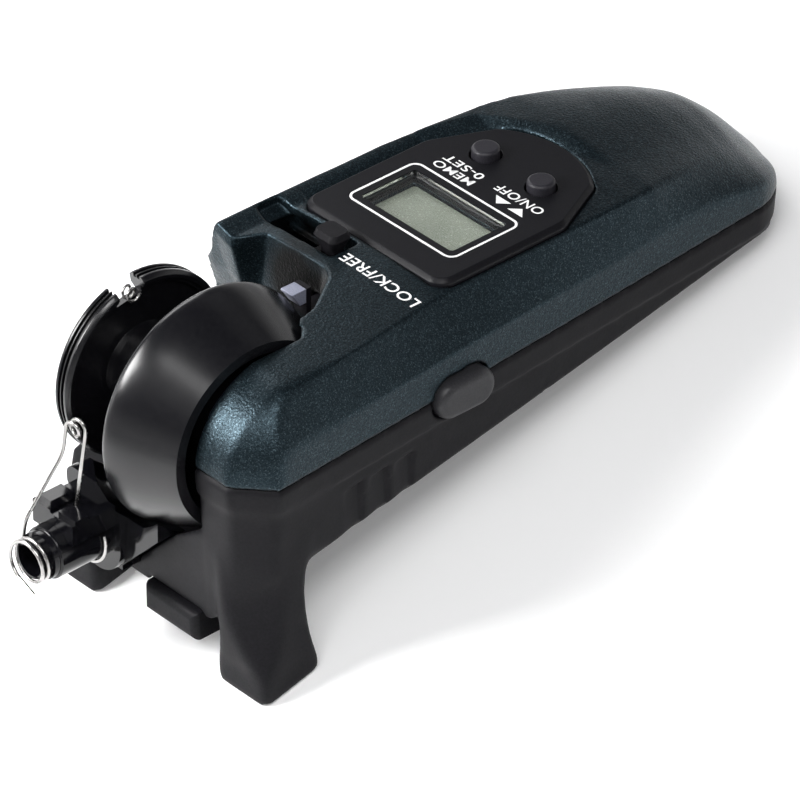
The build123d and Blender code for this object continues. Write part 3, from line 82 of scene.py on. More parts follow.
# Camera: the photograph's viewing angle in the case's frame
AZIMUTH = radians(48.2)
ELEVATION = radians(34.4)
LENS = 360.0
SENSOR = 36.0
DISTANCE = 1.04
TARGET = Vector((16.52, 25.44, 0)) * MM
CLIP_START = 0.05


# Materials ----------------------------------------------------------------------------------------

def nodes_of(name):
    """A new node material with its tree and its shader."""
    material = bpy.data.materials.new(name)
    material.use_nodes = True
    tree = material.node_tree
    return material, tree, tree.nodes["Principled BSDF"]


def add(tree, kind, **values):
    """A new node with its inputs or properties set."""
    node = tree.nodes.new(kind)
    for key, value in values.items():
        if key in node.inputs:
            node.inputs[key].default_value = value
        else:
            setattr(node, key, value)
    return node


def place_of(tree):
    """Object coordinates, in metres."""
    return tree.nodes.new("ShaderNodeTexCoord").outputs["Object"]


def noise(tree, scale, detail=2.0, rough=0.5):
    """A noise pattern with a given number of cells per metre."""
    node = add(tree, "ShaderNodeTexNoise", Scale=scale, Detail=detail, Roughness=rough)
    tree.links.new(place_of(tree), node.inputs["Vector"])
    return node.outputs["Fac"]


def cells(tree, scale):
    """Random cells, a given number per metre, each with its own colour."""
    node = add(tree, "ShaderNodeTexVoronoi", Scale=scale)
    tree.links.new(place_of(tree), node.inputs["Vector"])
    return node.outputs["Color"]


def ramp(tree, source, stops):
    """A colour ramp from (position, colour) stops."""
    node = tree.nodes.new("ShaderNodeValToRGB")
    elements = node.color_ramp.elements
    while len(elements) < len(stops):
        elements.new(0.5)
    for element, (position, colour) in zip(elements, stops):
        element.position = position
        element.color = (*colour, 1.0)
    tree.links.new(source, node.inputs["Fac"])
    return node.outputs["Color"]


def remapped(tree, source, start=0.0, end=1.0, lowest=0.0, highest=1.0):
    """Maps a value from one range onto another, held at both ends."""
    node = tree.nodes.new("ShaderNodeMapRange")
    ends = {"From Min": start, "From Max": end, "To Min": lowest, "To Max": highest}
    for socket, value in ends.items():
        node.inputs[socket].default_value = value
    tree.links.new(source, node.inputs["Value"])
    return node.outputs["Result"]


def vary_roughness(tree, shader, pattern, lowest, highest):
    """Lets a pattern set the shader's roughness between two values."""
    rough = remapped(tree, pattern, lowest=lowest, highest=highest)
    tree.links.new(rough, shader.inputs["Roughness"])


def relief(tree, shader, pattern, height):
    """Bump of a given height in metres."""
    bump = add(tree, "ShaderNodeBump", Strength=1.0, Distance=height)
    tree.links.new(pattern, bump.inputs["Height"])
    tree.links.new(bump.outputs["Normal"], shader.inputs["Normal"])


# Patterns: cells of a plastic's grain to a patch of its gloss, a metal's and the ink's cells per metre
CELLS_PER_PATCH = 9
METAL_CELLS = 3000.0
METAL_RELIEF = 0.003 * MM
INK_CELLS = 9000.0
THIN_INK = 0.93


def plastic(name, dark, light, roughness, grain, height, gloss=0.3, spread=0.06):
    """Moulded plastic: two close colours in a fine pattern, with grain in its relief and its gloss."""
    material, tree, shader = nodes_of(name)
    pattern = noise(tree, grain, 3.0, 0.65)
    tree.links.new(ramp(tree, pattern, [(0.36, dark), (0.64, light)]), shader.inputs["Base Color"])
    patches = noise(tree, grain / CELLS_PER_PATCH)
    vary_roughness(tree, shader, patches, roughness - spread, roughness + spread)
    shader.inputs["Specular IOR Level"].default_value = gloss
    relief(tree, shader, pattern, height)
    return material


# The cover's paint: flakes of four tones, black along the parting line, and painted shade in the pocket's
# hollows and the lever's slot. A spot of painted shade is its centre in the case's frame, the radius that
# is all black and the radius where the paint is full, in mm.
FLAKES_PER_METRE = 7500.0
SPARKS_PER_METRE = 2700.0
SPARK_HEIGHT = 0.075 * MM
FLAKE_TONES = (
    (0.0, (0.008, 0.014, 0.018)),
    (0.55, (0.014, 0.024, 0.030)),
    (0.90, (0.026, 0.042, 0.051)),
    (1.0, (0.055, 0.080, 0.094)),
)
SEAM_WIDTH = 0.3 * MM
SEAM_BLACK_SHARE = 0.7
SHADED_HOLLOWS = (
    ((-5.5, 26.4, 7.6), 3.4, 6.6),
    ((0.5, 26.4, 7.0), 3.0, 6.0),
    ((-11.5, 31.5, 8.6), 2.8, 4.2),
    ((-7.5, 31.5, 8.8), 2.8, 4.2),
)

# The colour sockets of a mix node, which share their names with its other kinds
MIX_FIRST, MIX_SECOND, MIX_RESULT = 6, 7, 2


def blackened(tree, colour, share):
    """Black where the share is 0 and the colour where it is 1."""
    mix = add(tree, "ShaderNodeMix", data_type="RGBA")
    tree.links.new(share, mix.inputs["Factor"])
    mix.inputs[MIX_FIRST].default_value = (0.0, 0.0, 0.0, 1.0)
    tree.links.new(colour, mix.inputs[MIX_SECOND])
    return mix.outputs[MIX_RESULT]


def place_measure(tree, operation, vector):
    """A measure of the object's coordinates against a vector."""
    node = add(tree, "ShaderNodeVectorMath", operation=operation)
    tree.links.new(place_of(tree), node.inputs[0])
    node.inputs[1].default_value = vector
    return node.outputs["Value"]


def above_seam(tree):
    """0 along the cover's parting line and 1 over it."""
    height = add(tree, "ShaderNodeMath", operation="SUBTRACT")
    tree.links.new(place_measure(tree, "DOT_PRODUCT", CASE_UP), height.inputs[0])
    height.inputs[1].default_value = CASE.translation.dot(CASE_UP)
    return remapped(tree, height.outputs[0], SEAM_WIDTH * SEAM_BLACK_SHARE, SEAM_WIDTH)


def outside_painted_shade(tree, centre, black, painted):
    """0 within a spot of painted shade and 1 round it."""
    away = place_measure(tree, "DISTANCE", CASE @ (Vector(centre) * MM))
    return remapped(tree, away, black * MM, painted * MM)


def flake_paint(name):
    """Dark blue-green metallic paint over a spark-textured shell, with shade painted black into its hollows.
    """
    material, tree, shader = nodes_of(name)
    flake = tree.nodes.new("ShaderNodeSeparateColor")
    tree.links.new(cells(tree, FLAKES_PER_METRE), flake.inputs["Color"])
    colour = blackened(tree, ramp(tree, flake.outputs["Red"], FLAKE_TONES), above_seam(tree))
    # Painted shade: the paint turns black on the pocket's walls beside the spool and inside the lever's slot,
    # where shade falls.
    for shade_spot in SHADED_HOLLOWS:
        colour = blackened(tree, colour, outside_painted_shade(tree, *shade_spot))
    tree.links.new(colour, shader.inputs["Base Color"])
    shader.inputs["Metallic"].default_value = 0.8
    shader.inputs["Specular IOR Level"].default_value = 0.35
    vary_roughness(tree, shader, flake.outputs["Green"], 0.28, 0.42)
    relief(tree, shader, noise(tree, SPARKS_PER_METRE, 2.0, 0.6), SPARK_HEIGHT)
    return material


def metal(name, colour, roughness, spread=0.06):
    """Bare metal with a fine grain."""
    material, tree, shader = nodes_of(name)
    shader.inputs["Base Color"].default_value = (*colour, 1.0)
    shader.inputs["Metallic"].default_value = 1.0
    pattern = noise(tree, METAL_CELLS, 3.0, 0.6)
    vary_roughness(tree, shader, pattern, roughness - spread, roughness + spread)
    relief(tree, shader, pattern, METAL_RELIEF)
    return material


def flat_print(name, colour):
    """Printed ink."""
    material, tree, shader = nodes_of(name)
    thin = tuple(c * THIN_INK for c in colour)
    ink = ramp(tree, noise(tree, INK_CELLS), [(0.3, thin), (0.6, colour)])
    tree.links.new(ink, shader.inputs["Base Color"])
    shader.inputs["Roughness"].default_value = 0.45
    return material


def clear_window(name):
    """Clear acrylic."""
    material, tree, shader = nodes_of(name)
    shader.inputs["Base Color"].default_value = (0.93, 0.95, 0.94, 1.0)
    shader.inputs["Transmission Weight"].default_value = 1.0
    shader.inputs["IOR"].default_value = 1.2
    vary_roughness(tree, shader, noise(tree, 400.0), 0.015, 0.035)
    return material


def lcd_glass(name):
    """Idle liquid crystal glass: grey-green with a faint cloud."""
    material, tree, shader = nodes_of(name)
    cloud = ramp(tree, noise(tree, 120.0), [(0.35, (0.165, 0.18, 0.145)), (0.65, (0.205, 0.22, 0.18))])
    tree.links.new(cloud, shader.inputs["Base Color"])
    vary_roughness(tree, shader, noise(tree, 3500.0), 0.20, 0.32)
    return material


COVER = flake_paint("cover_flake_paint")
CASE_BLACK = plastic("case_grained_black", (0.004, 0.004, 0.005), (0.0075, 0.007, 0.0088), 0.55,
                     2600.0, 0.016 * MM, gloss=0.13)
SPOOL_BLACK = plastic("spool_black", (0.003, 0.003, 0.004), (0.005, 0.005, 0.006), 0.25,
                      1500.0, 0.0006 * MM, gloss=0.42, spread=0.03)
GLOSS = plastic("polished_black", (0.002, 0.002, 0.003), (0.004, 0.004, 0.005), 0.11,
                1500.0, 0.0004 * MM, gloss=0.30, spread=0.02)
PANEL = plastic("panel_satin_black", (0.004, 0.004, 0.005), (0.007, 0.007, 0.009), 0.40,
                5200.0, 0.003 * MM, gloss=0.14)
BUTTON = plastic("button_grey", (0.014, 0.0135, 0.017), (0.021, 0.020, 0.025), 0.42,
                 5200.0, 0.005 * MM, gloss=0.25)
SIDE_BUTTON = plastic("side_button_black", (0.018, 0.018, 0.020), (0.028, 0.028, 0.031), 0.42,
                      4200.0, 0.005 * MM)
SHOE = plastic("shoe_silver_blue", (0.16, 0.17, 0.22), (0.22, 0.23, 0.29), 0.35, 5200.0, 0.003 * MM)
NYLON = plastic("gear_nylon", (0.70, 0.69, 0.64), (0.80, 0.79, 0.74), 0.45, 1800.0, 0.006 * MM)
BOARD = plastic("board_green", (0.01, 0.09, 0.04), (0.015, 0.13, 0.06), 0.35, 900.0, 0.003 * MM)
SLEEVE = plastic("cell_sleeve", (0.10, 0.12, 0.16), (0.13, 0.15, 0.19), 0.30, 900.0, 0.002 * MM)
WIRE = metal("bright_wire", (0.42, 0.41, 0.40), 0.26)
STEEL = metal("ground_steel", (0.50, 0.50, 0.52), 0.28)
DARK_STEEL = metal("black_steel", (0.12, 0.12, 0.13), 0.34)
BRASS = metal("turned_brass", (0.72, 0.55, 0.27), 0.26)
NICKEL = metal("nickel_plate", (0.70, 0.68, 0.64), 0.20)
INK = flat_print("white_ink", (0.80, 0.80, 0.80))
CLEAR = clear_window("clear_acrylic")
LCD = lcd_glass("lcd_grey_green")

LOOKS = {
    COVER: ["upper_cover"],
    CASE_BLACK: ["lower_case", "battery_door", "brake_lever", "brake_slide"],
    SPOOL_BLACK: ["spool", "spool_cap", "spool_knob"],
    GLOSS: ["rod_socket", "guide_saddle"],
    PANEL: ["display_panel", "display_bezel", "controller_chip", "tact_switches", "wind_switches"],
    BUTTON: ["memo_button", "power_button"],
    SIDE_BUTTON: ["wind_button_right", "wind_button_left"],
    SHOE: ["brake_shoe"],
    NYLON: ["drive_gear", "idler_gear", "reduction_gear"],
    BOARD: ["circuit_board"],
    SLEEVE: ["battery_left", "battery_right"],
    WIRE: ["wire_guide", "saddle_clip", "line_clip"],
    STEEL: ["motor", "motor_plate", "gear_frame", "spool_bearing", "wheel_axle", "idler_stud", "door_pin",
            "spool_shaft"],
    DARK_STEEL: ["case_screws", "board_screws", "frame_screws", "socket_screw"],
    BRASS: ["frame_bush", "motor_rotor"],
    NICKEL: ["front_contacts", "rear_contact"],
    CLEAR: ["display_window"],
    LCD: ["lcd_module"],
}
for look, names in LOOKS.items():
    for name in names:
        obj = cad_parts[name]
        obj.data.materials.clear()
        obj.data.materials.append(look)


# Rounded edges of the CAD nodes -------------------------------------------------------------------

WELD_REACH = 0.002 * MM
FLAT_ANGLE = radians(0.4)
EDGE_ANGLE = radians(26.0)
EDGE_SEGMENTS = 2
EDGE_WIDTHS = {
    0.12 * MM: ["display_panel"],
    0.15 * MM: ["battery_door", "rod_socket", "guide_saddle", "brake_lever", "wind_button_right",
                "wind_button_left"],
    0.1 * MM: ["spool_cap", "spool_knob", "brake_shoe", "memo_button", "power_button"],
}


def soften(name, width):
    """Rounds the moulded edges of a CAD node and smooths its shading."""
    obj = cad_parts[name]
    weld = obj.modifiers.new("weld", "WELD")
    weld.merge_threshold = WELD_REACH
    flat = obj.modifiers.new("flat", "DECIMATE")
    flat.decimate_type = "DISSOLVE"
    flat.angle_limit = FLAT_ANGLE
    bevel = obj.modifiers.new("bevel", "BEVEL")
    bevel.width = width
    bevel.segments = EDGE_SEGMENTS
    bevel.limit_method = "ANGLE"
    bevel.angle_limit = EDGE_ANGLE
    bevel.miter_outer = "MITER_ARC"
    obj.modifiers.new("shade", "WEIGHTED_NORMAL")


for width, names in EDGE_WIDTHS.items():
    for name in names:
        soften(name, width)


# Moulded shells: copies of the two case halves with soft edges ------------------------------------
# Values without MM are in mm of the case's frame, or plain shares and counts. A pair is the start and
# the end of a smooth step; a table holds values at places along the case or at heights over its joint.

COVER_GRAIN = 0.26 * MM
CASE_GRAIN = 0.34 * MM
EDGE_ROUNDS = 3
COVER_ZONE_ROUNDS = 110
LEG_ZONE_ROUNDS = 60
ZONE_LEVELS = 10
SMOOTH_FACTOR = 0.5
KEPT_SHARE = 0.5

# The roof over the left cheek, its crown and the wing beside the spool
RIM_HEIGHT = 6.0
ROOF_START = ((57, 13.95), (66, 10.0), (72, -8.0))
ROOF_BLEND = ((57, 0.4), (66, 3.0), (72, 12.0), (80, 20.0))
ROOF_OUT = ((25, 2.2), (40, 2.6), (52, 2.4), (64, 1.4), (72, 0.6), (84, 0.0))
ROOF_UP = ((25, 1.0), (50, 1.0), (64, 1.0), (72, 1.2), (82, 1.6), (92, 2.1), (99, 2.5), (104, 2.2),
           (107, 1.0))
CHEEK_X = 18.6
CHEEK_BLEND = 4.1
REAR_START = (58.0, 74.0)
LEVER_END_Y = 42.0
RAY_LIFT = 0.5 * MM
CROWN_RISE = 0.5
CROWN_START = (66.0, 82.0)
CROWN_END = (96.0, 107.0)
WING_SIDE = (11.0, 14.0)
WING_END = (27.0, 28.8)
WING_FORWARD = ((0.5, 0.0), (4.5, 1.9), (10.0, 3.9))

# The groove along the parting line, on the sides, the tail and the nose
GROOVE_HALF = 0.34
GROOVE_DEPTH = 0.3
GROOVE_SIDE_X = 13.0
GROOVE_TAIL_Y = 98.0
GROOVE_NOSE_Y = -4.2

# The softest places: the cover's nose and tail, and the legs
NOSE_END = (6.0, 16.0)
NOSE_FOOT = (0.3, 2.0)
NOSE_SIDE = (11.5, 13.5)
TAIL_START = (66.0, 84.0)
TAIL_FOOT = (0.3, 2.5)
LEG_END = (7.5, 12.0)
LEG_SIDE = (9.6, 12.0)
LEG_TOP = (-5.0, -1.5)

# The grip steps of the sides and the swell of the feet
GRIP_START_Y = 12.2
GRIP_END_Y = 25.6
GRIP_PITCH = 4.7
GRIP_LENGTH = 3.7
GRIP_SIDE_X = 17.0
GRIP_TOP = (6.0, 6.8)
GRIP_DEPTH = 0.35
FOOT_TOP = (-14.0, -6.0)
FOOT_END = (8.0, 14.0)
FOOT_X = 17.1
FOOT_Y = 2.0
FOOT_INNER_X = 11.0
SWELL_X = 0.05
SWELL_Y = 0.035
SIDE_MARGIN = 0.05
HALF_WIDTH = cad_box[1][0] / MM - SIDE_MARGIN


def worked_out(obj):
    """A mesh with the object's modifiers applied."""
    bpy.context.view_layer.update()
    return bpy.data.meshes.new_from_object(obj.evaluated_get(bpy.context.evaluated_depsgraph_get()))


def points_of(mesh):
    """A mesh's points as rows of numbers."""
    flat = np.empty(len(mesh.vertices) * 3)
    mesh.vertices.foreach_get("co", flat)
    return flat.reshape(-1, 3)


def step_up(values, start, end):
    """0 before start, 1 after end, and a smooth rise between them."""
    share = np.clip((values - start) / (end - start), 0, 1)
    return share * share * (3 - 2 * share)


def along(places, table):
    """A table's value at each place, in straight lines between its rows."""
    return np.interp(places, *zip(*table))


def case_copy(node):
    """A copy of a CAD node's mesh in the case's frame."""
    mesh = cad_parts[node].data.copy()
    mesh.transform(CASE.inverted())
    return mesh


def mesh_tree(spots, mesh):
    """A search tree of a mesh's faces with its points at the given spots."""
    return BVHTree.FromPolygons(spots, [tuple(p.vertices) for p in mesh.polygons])


def moulded(node, grain, change, zone, zone_rounds):
    """Stands for a CAD node with a changed copy, its edges rounded as in a mould and softest in a zone."""
    obj = bpy.data.objects.new(node + "_moulded", case_copy(node))
    bpy.context.scene.collection.objects.link(obj)
    remesh = obj.modifiers.new("remesh", "REMESH")
    remesh.mode = "VOXEL"
    remesh.voxel_size = grain
    obj.data = worked_out(obj)
    obj.modifiers.clear()
    spots = change(points_of(obj.data))
    obj.data.vertices.foreach_set("co", spots.ravel())
    group = obj.vertex_groups.new(name="zone")
    levels = np.round(zone(spots) * ZONE_LEVELS)
    for level in range(1, ZONE_LEVELS + 1):
        group.add(np.nonzero(levels == level)[0].tolist(), level / ZONE_LEVELS, "REPLACE")
    for rounds, where in ((EDGE_ROUNDS, ""), (zone_rounds, group.name)):
        smooth = obj.modifiers.new("smooth", "SMOOTH")
        smooth.factor = SMOOTH_FACTOR
        smooth.iterations = rounds
        smooth.vertex_group = where
    thin = obj.modifiers.new("thin", "DECIMATE")
    thin.ratio = KEPT_SHARE
    obj.data = worked_out(obj)
    obj.modifiers.clear()
    obj.data.transform(CASE)
    obj.data.materials.clear()
    obj.data.materials.append(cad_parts[node].data.materials[0])
    obj.data.polygons.foreach_set("use_smooth", [True] * len(obj.data.polygons))
    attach(obj, "case")
    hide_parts(node)
    return obj


def under_roof(spots, asked):
    """Marks the asked points that have some of the cover above them."""
    mesh = case_copy("upper_cover")
    shell = mesh_tree([v.co.copy() for v in mesh.vertices], mesh)
    bpy.data.meshes.remove(mesh)
    covered = np.zeros(len(spots), dtype=bool)
    for i in np.nonzero(asked)[0]:
        x, y, z = spots[i]
        covered[i] = shell.ray_cast(Vector((x, y, z + RAY_LIFT)), Vector((0, 0, 1)))[0] is not None
    return covered


def joint_groove(x, y, z):
    """Draws the two halves' rims in along their parting line."""
    rim = (np.abs(z) < GROOVE_HALF) * GROOVE_DEPTH
    inward = np.sign(x) * rim * (np.abs(x) > GROOVE_SIDE_X)
    return x - inward, y - rim * (y > GROOVE_TAIL_Y) + rim * (y < GROOVE_NOSE_Y)


def fuller_roof(spots):
    """Carries the roof out to the left and up at the tail, and the wing beside the spool forward."""
    x, y, z = (spots / MM).T
    high = np.clip(z / RIM_HEIGHT, 0, 1)
    start = along(y, ROOF_START)
    left = step_up(-x, start, start + along(y, ROOF_BLEND))
    side = np.clip((CHEEK_X + x) / CHEEK_BLEND, 0, 1)
    rear = step_up(y, *REAR_START)
    share = (side * (1 - rear) + rear) * high * left
    share[under_roof(spots, (share > 0) & (y < LEVER_END_Y) & (x < 0))] = 0
    out, up = along(y, ROOF_OUT), along(y, ROOF_UP)
    crown = CROWN_RISE * high * step_up(y, *CROWN_START) * (1 - step_up(y, *CROWN_END))
    wing = step_up(-x, *WING_SIDE) * (1 - step_up(y, *WING_END)) * along(z, WING_FORWARD)
    x, y = joint_groove(x - out * share, y, z)
    return np.stack((x, y - wing, z + up * share + crown), axis=1) * MM


def cover_zone(spots):
    """The cover's rounded nose and tail."""
    x, y, z = (spots / MM).T
    nose = (1 - step_up(y, *NOSE_END)) * step_up(z, *NOSE_FOOT) * step_up(x, *NOSE_SIDE)
    tail = step_up(y, *TAIL_START) * step_up(z, *TAIL_FOOT)
    return np.maximum(nose, tail)


def fuller_legs(spots):
    """Makes up for what the smoothing takes from the legs and the grip steps."""
    x, y, z = (spots / MM).T
    step = np.mod(y - GRIP_START_Y, GRIP_PITCH) / GRIP_LENGTH
    gripped = (y > GRIP_START_Y) * (y < GRIP_END_Y) * (step < 1) * (np.abs(x) > GRIP_SIDE_X)
    grip = gripped * step_up(-z, *GRIP_TOP)
    x = x - np.sign(x) * grip * step * GRIP_DEPTH
    low = 1 - step_up(z, *FOOT_TOP)
    near = 1 - step_up(y, *FOOT_END)
    middle = FOOT_X * np.sign(x)
    x = np.clip(x + SWELL_X * (x - middle) * low * near * (np.abs(x) > FOOT_INNER_X), -HALF_WIDTH, HALF_WIDTH)
    y = y + SWELL_Y * (y - FOOT_Y) * low * near * (np.abs(x) > FOOT_INNER_X)
    x, y = joint_groove(x, y, z)
    return np.stack((x, y, z), axis=1) * MM


def leg_zone(spots):
    """The legs and the corners of the front wall."""
    x, y, z = (spots / MM).T
    return (1 - step_up(y, *LEG_END)) * step_up(np.abs(x), *LEG_SIDE) * (1 - step_up(z, *LEG_TOP))


cover = moulded("upper_cover", COVER_GRAIN, fuller_roof, cover_zone, COVER_ZONE_ROUNDS)
moulded("lower_case", CASE_GRAIN, fuller_legs, leg_zone, LEG_ZONE_ROUNDS)
cover_ground = mesh_tree([CASE.inverted() @ v.co for v in cover.data.vertices], cover.data)


# Pieces made here ---------------------------------------------------------------------------------

def meshed(name, bm):
    """A mesh from a finished bmesh."""
    mesh = bpy.data.meshes.new(name)
    bm.to_mesh(mesh)
    bm.free()
    return mesh


def ring_of(bm, loops):
    """Joins closed loops of points with faces, the last loop to the first, and turns the faces outwards."""
    count = len(loops[0])
    for a, b in zip(loops, loops[1:] + loops[:1]):
        for i in range(count):
            j = (i + 1) % count
            bm.faces.new((a[i], a[j], b[j], b[i]))
    bmesh.ops.recalc_face_normals(bm, faces=bm.faces)


def piece(name, mesh, material, body):
    """Adds a mesh in the case's frame as a piece of the object that rides on a body."""
    mesh.transform(CASE)
    mesh.materials.append(material)
    obj = bpy.data.objects.new(name, mesh)
    bpy.context.scene.collection.objects.link(obj)
    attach(obj, body)
    return obj


# Spool: the disc beside the case has a rounded lip, a short band and a cone in one smooth sweep
SPOOL_X = -1.0 * MM
RIM_RADIUS = 17.15 * MM
FLANK_END = Vector((10.0, 13.45)) * MM
FLANK_BLEND = 0.35
BAND_END = Vector((1.2, 17.15)) * MM
LIP_RADIUS = 1.1 * MM
HUB_FILLET = 2.2 * MM
HUB_RADIUS = 6.0 * MM
CAP_FACE = -11.7 * MM
SHAFT_RADIUS = 1.55 * MM
BOSS_RADIUS = 3.6 * MM
SPOOL_WALL = 1.5 * MM
RIM_WALLS = 2.2
ARC_STEPS = 8
FLANK_STEPS = 24
ROUND_STEPS = 160
CREASE_ANGLE = radians(32)


def spool_profile():
    """Half section of the spool, from the shaft at the cap's face round to the shaft inside the case."""
    quarter = [pi / 2 * step / ARC_STEPS for step in range(ARC_STEPS + 1)]
    points = [(CAP_FACE, SHAFT_RADIUS), (CAP_FACE, HUB_RADIUS)]
    for a in quarter:
        points.append((SPOOL_X - HUB_FILLET + HUB_FILLET * sin(a), HUB_RADIUS + HUB_FILLET * (1 - cos(a))))
    for a in quarter:
        points.append((SPOOL_X + LIP_RADIUS * (1 - cos(a)), RIM_RADIUS - LIP_RADIUS + LIP_RADIUS * sin(a)))
    band = Vector((SPOOL_X + LIP_RADIUS, RIM_RADIUS))
    turned = BAND_END.lerp(FLANK_END, FLANK_BLEND)
    for step in range(1, FLANK_STEPS + 1):
        share = step / FLANK_STEPS
        near = band.lerp(BAND_END, share)
        far = BAND_END.lerp(turned, share)
        points.append(tuple(near.lerp(far, share)))
    return points + [
        (FLANK_END.x, FLANK_END.y),
        (FLANK_END.x, FLANK_END.y - SPOOL_WALL),
        (SPOOL_X + 2 * SPOOL_WALL, RIM_RADIUS - RIM_WALLS * SPOOL_WALL),
        (SPOOL_X + SPOOL_WALL, HUB_RADIUS),
        (FLANK_END.x - SPOOL_WALL, BOSS_RADIUS),
        (FLANK_END.x, BOSS_RADIUS),
        (FLANK_END.x, SHAFT_RADIUS),
    ]


def lathe_mesh(name, profile, centre_y):
    """A ring turned about the case's x axis from a closed half section, with creases at its corners."""
    bm = bmesh.new()
    loops = []
    for step in range(ROUND_STEPS):
        a = 2 * pi * step / ROUND_STEPS
        loops.append([bm.verts.new((x, centre_y + r * cos(a), r * sin(a))) for x, r in profile])
    ring_of(bm, loops)
    for face in bm.faces:
        face.smooth = True
    for edge in bm.edges:
        if edge.calc_face_angle(0.0) > CREASE_ANGLE:
            edge.smooth = False
    return meshed(name, bm)


turned = piece("spool_turned", lathe_mesh("spool_turned", spool_profile(), SPOOL_Y), SPOOL_BLACK, "spool")
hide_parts("spool")

# White line round the display window
CORNER_STEPS = 8


def display_loop(inset):
    """Points round the display's line, at an inset from its outer edge."""
    half_x, half_y = OUTLINE_WIDTH / 2 - inset, OUTLINE_LENGTH / 2 - inset
    corner = OUTLINE_CORNER - inset
    points = []
    for turn, (sx, sy) in enumerate(((1, 1), (-1, 1), (-1, -1), (1, -1))):
        for step in range(CORNER_STEPS + 1):
            a = pi / 2 * (turn + step / CORNER_STEPS)
            x = sx * (half_x - corner) + corner * cos(a)
            y = sy * (half_y - corner) + corner * sin(a) + DISPLAY_Y
            points.append((x, y))
    return points


def ring_mesh(name, outer, inner, z, rise):
    """A thin flat ring between two outlines with the same number of points."""
    bm = bmesh.new()
    levels = ((outer, z), (outer, z + rise), (inner, z + rise), (inner, z))
    ring_of(bm, [[bm.verts.new((x, y, height)) for x, y in points] for points, height in levels])
    return meshed(name, bm)


def plate_mesh(name, points, z, rise):
    """A thin flat plate with a given outline."""
    bm = bmesh.new()
    face = bm.faces.new([bm.verts.new((x, y, z)) for x, y in points])
    made = bmesh.ops.extrude_face_region(bm, geom=[face])
    for item in made["geom"]:
        if isinstance(item, bmesh.types.BMVert):
            item.co.z += rise
    bmesh.ops.recalc_face_normals(bm, faces=bm.faces)
    return meshed(name, bm)


outer, inner = display_loop(0), display_loop(OUTLINE_STROKE)
display_line = ring_mesh("display_outline", outer, inner, PANEL_TOP, PRINT_RISE)
piece("display_outline", display_line, INK, "case")

# Corners of the up and down marks beside the power button, in mm
MARKS = {
    "mark_up": ((2.85, 54.75), (5.75, 54.75), (4.3, 53.35)),
    "mark_down": ((6.25, 53.6), (9.15, 53.6), (7.7, 55.0)),
}
for name, corners in MARKS.items():
    spots = [(x * MM, y * MM) for x, y in corners]
    piece(name, plate_mesh(name, spots, PANEL_TOP, PRINT_RISE), INK, "case")

# Words of the buttons and the lever: text, then width, height and the middle's x and y in mm
PANEL_WORDS = {
    "word_on_off": ("ON/OFF", 8.7, 1.6, 5.75, 56.25),
    "word_memo": ("MEMO", 7.4, 1.45, -4.95, 54.15),
    "word_zero_set": ("0-SET", 7.2, 1.45, -5.0, 56.1),
}
COVER_WORDS = {"word_lock_free": ("LOCK/FREE", 14.3, 1.9, 7.0, 30.4)}
LETTER_WEIGHT = 0.012
LETTER_SPACE = 1.06
LETTER_STEPS = 4
DRAPE_LIFT = 3 * MM


def letters_mesh(name, text):
    """Flat letters of a text."""
    curve = bpy.data.curves.new(name, "FONT")
    curve.body = text
    curve.offset = LETTER_WEIGHT
    curve.space_character = LETTER_SPACE
    curve.resolution_u = LETTER_STEPS
    holder = bpy.data.objects.new(name + "_curve", curve)
    bpy.context.scene.collection.objects.link(holder)
    bpy.context.view_layer.update()
    mesh = bpy.data.meshes.new_from_object(holder)
    bpy.data.objects.remove(holder)
    return mesh


def print_words(name, line, z, ground=None):
    """Prints letters that read towards -x, their tops towards -y, at a height or draped over a ground."""
    text, *sizes = line
    width, height, x, y = (size * MM for size in sizes)
    mesh = letters_mesh(name, text)
    spots = points_of(mesh)
    low_spot, high_spot = spots.min(axis=0), spots.max(axis=0)
    middle = (low_spot + high_spot) / 2
    size = high_spot - low_spot
    spots[:, 0] = x - (spots[:, 0] - middle[0]) * width / size[0]
    spots[:, 1] = y - (spots[:, 1] - middle[1]) * height / size[1]
    spots[:, 2] = z + PRINT_RISE
    if ground:
        for spot in spots:
            hit = ground.ray_cast(Vector((spot[0], spot[1], z + DRAPE_LIFT)), Vector((0, 0, -1)))[0]
            spot[2] = hit.z + PRINT_RISE if hit else spot[2]
    mesh.vertices.foreach_set("co", spots.ravel())
    piece(name, mesh, INK, "case")


for name, line in PANEL_WORDS.items():
    print_words(name, line, PANEL_TOP)
for name, line in COVER_WORDS.items():
    print_words(name, line, COVER_TOP, cover_ground)


# Floor and backdrop -------------------------------------------------------------------------------

FLOOR_SIZE = 3.0
FLOOR_GREY = 0.90
FLOOR_GLOW = 0.16
bm = bmesh.new()
bmesh.ops.create_grid(bm, x_segments=1, y_segments=1, size=FLOOR_SIZE)
floor = bpy.data.objects.new("floor", meshed("floor", bm))
bpy.context.scene.collection.objects.link(floor)


def grey(value):
    """An opaque grey."""
    return value, value, value, 1.0


def seen_ray(tree):
    """1 for camera, glossy and transmission rays."""
    path = tree.nodes.new("ShaderNodeLightPath")
    seen = path.outputs["Is Camera Ray"]
    for ray in ("Is Glossy Ray", "Is Transmission Ray"):
        either = add(tree, "ShaderNodeMath", operation="MAXIMUM")
        tree.links.new(seen, either.inputs[0])
        tree.links.new(path.outputs[ray], either.inputs[1])
        seen = either.outputs[0]
    return seen


def mixed(tree, share, first, second):
    """A mix of two shaders."""
    mix = tree.nodes.new("ShaderNodeMixShader")
    for socket, source in zip(mix.inputs, (share, first, second)):
        tree.links.new(source, socket)
    return mix.outputs[0]


